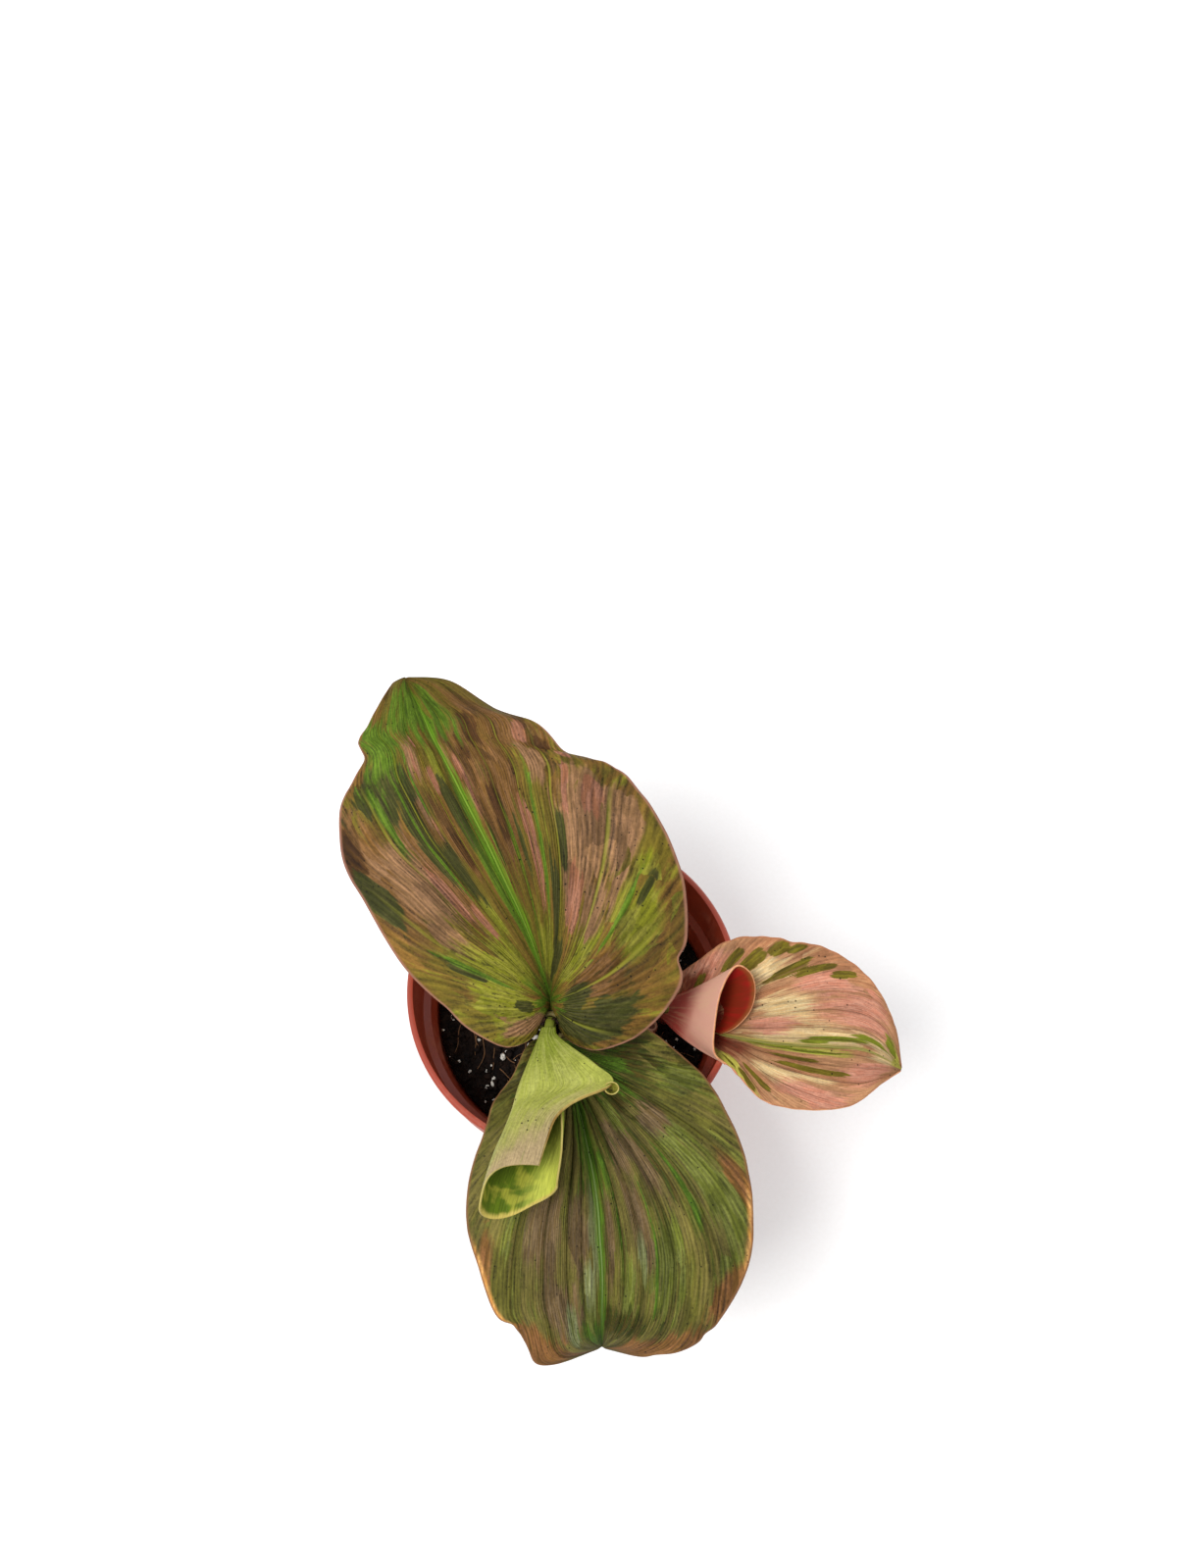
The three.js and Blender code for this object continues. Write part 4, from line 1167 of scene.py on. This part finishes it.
# %% Flakes in the throat
THROAT = Vector((-5.6, -11.9, 77.2))
FLAKES = 26
draw = random.Random(31)
heap = bmesh.new()
for _ in range(FLAKES):
    away = Vector((draw.gauss(0, 1.2), min(draw.gauss(0.0, 0.7), 0.0), draw.uniform(-0.6, 0.7)))
    turn = random_turn(draw, 0.9)
    flat = Matrix.Diagonal((1.0, draw.uniform(0.25, 0.6), 0.2, 1.0))
    place = Matrix.Translation((THROAT + away) * MM) @ turn @ flat
    add_grain(heap, draw, place, draw.uniform(0.4, 1.0) * MM, 2, 0.09 * MM)
flakes = add_object("throat_flakes", mesh_of(heap, "throat_flakes"))
scale = Finish("dry_scale")
worn = scale.noise(scale.place(), 900.0, 3.0)
tone = scale.mix(scale.step(worn, 0.45, 0.7), "#160b07", "#3a2416")
dry_scale = scale.coat(tone, 0.7, scale.bump(worn, 0.0001), Specular_IOR_Level=LEAF_GLOSS)
finish_piece(flakes, "leaf_young", dry_scale)

# %% [markdown]
# ## The pink leaf
# The second shoot carries a smaller leaf, coral and cream with olive strokes. The near half of its blade
# is still rolled over the midrib at the foot, as a funnel: pale pink outside, and dark red where no light
# reaches the inside.

# %% Lines of the pink blade and of the funnel, in mm
PINK_BLADE = {
    "midrib": [
        [23.5, -4.5, 61], [28, -8.5, 66], [32.5, -11.5, 70], [36.5, -14.5, 73], [41.5, -16, 75],
        [47.5, -17.5, 77], [55, -18.5, 78.5], [62.5, -19, 79], [69.5, -19.5, 79], [75, -21.5, 78],
        [79.5, -24, 76.5],
    ],
    "left": [
        [25, -2, 62], [26.5, 1.5, 68], [32, 4.5, 74], [39, 8, 79], [46.5, 7.5, 82], [54.5, 6.5, 83],
        [62.5, 4.5, 83], [69.5, 0, 82], [75, -6, 80.5], [78.5, -14, 78.5], [79.5, -24, 76.5],
    ],
    "right": [
        [22.5, -6.5, 60], [26.5, -12, 64], [31.5, -17, 68], [37.5, -21.5, 71.5], [41, -25.5, 73],
        [45.5, -30.5, 74], [52, -33, 75], [60, -33.5, 76], [67.5, -32, 76.5], [74, -27.5, 76.5],
        [79.5, -24, 76.5],
    ],
    "veins": [-2, -1.65, -1.35, -1.1, -0.85, -0.55, -0.28, 0, 0.3, 0.6, 0.9, 1.2, 1.45, 1.7, 2],
    "bulge": -1.6, "depth": 0.5, "waves": 3, "wave_height": 0.6, "folds_start": (0.35, 0.6),
    "nicks": [("left", 0.5, 0.03, 0.5), ("left", 0.3, 0.02, 0.4)],
}
PINK_BLADE["patches"] = {
    "cream": [
        (-0.25, 0.62, 0.35, 0.2), (-0.95, 0.56, 0.25, 0.08), (-0.2, 0.9, 0.4, 0.07),
        (0.2, 0.9, 0.2, 0.06), (-1.42, 0.56, 0.1, 0.1), (1.1, 0.58, 0.15, 0.08), (0.95, 0.7, 0.06, 0.1),
    ],
    "coral": [
        (-0.85, 0.82, 0.25, 0.13), (-0.6, 0.5, 0.2, 0.07), (0.7, 0.87, 0.25, 0.09),
        (1.2, 0.76, 0.12, 0.12), (-1.75, 0.45, 0.14, 0.1), (-1.2, 0.7, 0.08, 0.1),
    ],
    # shade is a painted shadow beside the funnel, and red is painted shade over the blade's foot, around and
    # inside the funnel.
    "shade": [(0.95, 0.37, 0.5, 0.08), (1.45, 0.38, 0.12, 0.08), (-1.78, 0.38, 0.08, 0.08)],
    "red": [(0.0, 0.1, 3.0, 0.24)],
    "lemon": [
        (0.15, 0.5, 0.22, 0.12), (0.28, 0.64, 0.12, 0.12), (-0.3, 0.97, 0.5, 0.03),
        (1.6, 0.55, 0.12, 0.14),
    ],
    "olive": [
        (-1.62, 0.5, 0.03, 0.06), (-1.53, 0.55, 0.04, 0.06), (-1.5, 0.65, 0.035, 0.05),
        (-1.36, 0.62, 0.035, 0.09), (-1.3, 0.7, 0.025, 0.08), (-1.24, 0.8, 0.025, 0.05),
        (-1.74, 0.36, 0.025, 0.08), (-1.46, 0.7, 0.025, 0.05), (0.77, 0.62, 0.05, 0.07),
        (0.78, 0.7, 0.05, 0.1), (0.56, 0.6, 0.05, 0.08), (1.37, 0.57, 0.035, 0.08),
        (1.52, 0.6, 0.04, 0.06), (1.6, 0.5, 0.02, 0.06),
    ],
    "leafgreen": [
        (-0.06, 0.43, 0.06, 0.04), (-0.3, 0.72, 0.07, 0.09), (-0.2, 0.64, 0.05, 0.05),
        (-0.42, 0.84, 0.05, 0.08), (0.22, 0.49, 0.06, 0.08), (0.3, 0.65, 0.06, 0.08),
        (0.14, 0.6, 0.04, 0.06), (-0.6, 0.94, 0.2, 0.03), (0.1, 0.7, 0.04, 0.04),
    ],
}
FUNNEL_MOUTH = [
    [34.5, -19.5, 75.5], [34.5, -14, 79], [36, -6.5, 83], [39.5, -1, 85.5], [43, -2, 84.5],
    [44.5, -5.5, 82], [43.5, -10, 79], [40, -13.5, 76],
]
FUNNEL_CENTRE = np.array([39.7, -9, 79.5])
FUNNEL_ROOT = np.array([23.6, -4.4, 61.5])
FUNNEL_ROOT_SCALE = 0.2
FUNNEL_BLADE_SHARE = 0.3
FUNNEL_FLARE = 1.3


def funnel_surface(u, v):
    """Rings that grow from the root to the mouth. Both their ends lie on the blade."""
    places = np.empty((len(u), 3))
    for share in np.unique(u):
        row = u == share
        size = FUNNEL_ROOT_SCALE + (1 - FUNNEL_ROOT_SCALE) * max(share, 0.0) ** FUNNEL_FLARE
        middle = FUNNEL_ROOT + (FUNNEL_CENTRE - FUNNEL_ROOT) * share
        ring = (np.array(FUNNEL_MOUTH) - FUNNEL_CENTRE) * size + middle
        along = np.array([share * FUNNEL_BLADE_SHARE])
        first, last = (through(PINK_BLADE[key], along) for key in ("right", "midrib"))
        places[row] = through(np.vstack([first, ring, last]), v[row])
    return places


# %% Build the pink blade
pink_upper = variegated(
    "pink_leaf_upper",
    {"ground": "#a87a56", "second": "#9c6a48", "stripe": "#b08a60", "vein": "#94644c",
     "midrib": "#a8a048", "midrib_pale_line_and_highlight": "#c8c474"},
    [
        ("cream", "#ceb688", "#c0a06e", 0.2, 1.4),
        ("coral", "#c48a72", "#b2745c", 0.2, 1.4),
        # painted shadow beside the funnel
        ("shade", "#8d5238", "#7a3c2a", 0.2, 1.0),
        ("lemon", "#b8b050", "#a09a3c", 0.12, 1.2),
        # painted shade over the blade's foot, around and inside the funnel
        ("red", "#8d1c12", "#6c2412", 0.1, 0.3),
        ("olive", "#6e6218", "#584a12", 0.04, 0.7),
        ("leafgreen", "#7e8424", "#666c18", 0.05, 0.8),
    ],
    13.0, "#a06848", 0.6,
)
pink_under = plain_leaf("pink_leaf_under", "#d49c8a", "#c07a6a", 30.0)
pink_rim = plain_leaf("pink_leaf_rim", "#d8a070", "#c07a58", 30.0)
leaf_sheet(
    "leaf_pink_blade", blade_surface(PINK_BLADE), 150, 130, "leaf_pink", (pink_upper, pink_under, pink_rim),
    blade_fields(PINK_BLADE),
)

# %% Build the funnel
outside = Finish("funnel_outside")
across, along, _ = outside.uv("UVMap")
streak = outside.brushed(across * 30.0, along * 2.0, roughness=0.6)
cloud = outside.noise(outside.place(), 110.0, 2.0)
grain = outside.noise(outside.place(), 1400.0, 2.0)
fade = outside.step(along + (cloud - 0.5) * 0.5, 0.25, 0.8)
tone = outside.mix(fade, "#9a3c34", "#c89480")
tone = outside.mix(outside.step(streak, 0.45, 0.7) * 0.35, tone, "#c4a07c")
funnel_bump = outside.bump(streak * 0.7 + grain * 0.3, 0.00012)
funnel_outer = outside.coat(tone, 0.45, funnel_bump, Specular_IOR_Level=2 * LEAF_GLOSS)

inside = Finish("funnel_inside")
across, along, _ = inside.uv("UVMap")
streak = inside.brushed(across * 14.0, along * 2.0)
tone = inside.mix(inside.step(streak, 0.4, 0.65), "#8c1812", "#70200e")
tone = inside.mix(inside.step(along, 0.93, 1.0) * 0.4, tone, "#74602a")
funnel_inner = inside.coat(tone, 0.45, inside.bump(streak, 0.0001), Specular_IOR_Level=LEAF_GLOSS)
funnel_skins = (funnel_inner, funnel_outer, pink_rim)
leaf_sheet("leaf_pink_funnel", funnel_surface, 80, 160, "leaf_pink", funnel_skins)
root = [[*SECOND_SHOOT, height] for height in (STEM_FOOT, 44, 52)]
root += [list(FUNNEL_ROOT), [26, -6.2, 64]]
stalk("leaf_pink_stalk", root, [2.1, 2.1, 2.1, 1.9, 1.0], "leaf_pink", stalk_skin)

# %% [markdown]
# ## The cut stub
# Beside the pink leaf a leaf was cut off. Its stub is a short pale tube with a dry brown centre.

# %% Cut stub
stub_low, stub_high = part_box("cut_stub")
STUB_RADIUS = (stub_high.x - stub_low.x) / 2
middle = (stub_low + stub_high) / 2
section = [(0, stub_low.z), (STUB_RADIUS, stub_low.z), (STUB_RADIUS, stub_high.z - 0.5 * MM)]
section += [(0.93 * STUB_RADIUS, stub_high.z), (0.72 * STUB_RADIUS, stub_high.z - 0.1 * MM)]
section += [(0.5 * STUB_RADIUS, stub_high.z - 0.7 * MM), (0, stub_high.z - 0.9 * MM)]
stub = turned("stub", section, 48)
stub.data.transform(Matrix.Translation((middle.x, middle.y, 0)))
cut = Finish("cut_stalk")
x, y, _ = cut.parts(cut.place())
x, y = x - middle.x, y - middle.y
spread = cut.noise(cut.place(), 900.0, 3.0)
away = (x * x + y * y).root() + (spread - 0.5) * 0.8 * MM
dry = 1.0 - cut.step(away, 0.7 * MM, 1.2 * MM)
tone = cut.mix(dry, "#d2a08a", "#6e3a24")
finish_piece(stub, "cut_stub", cut.coat(tone, 0.6, cut.bump(spread, 0.0002)))
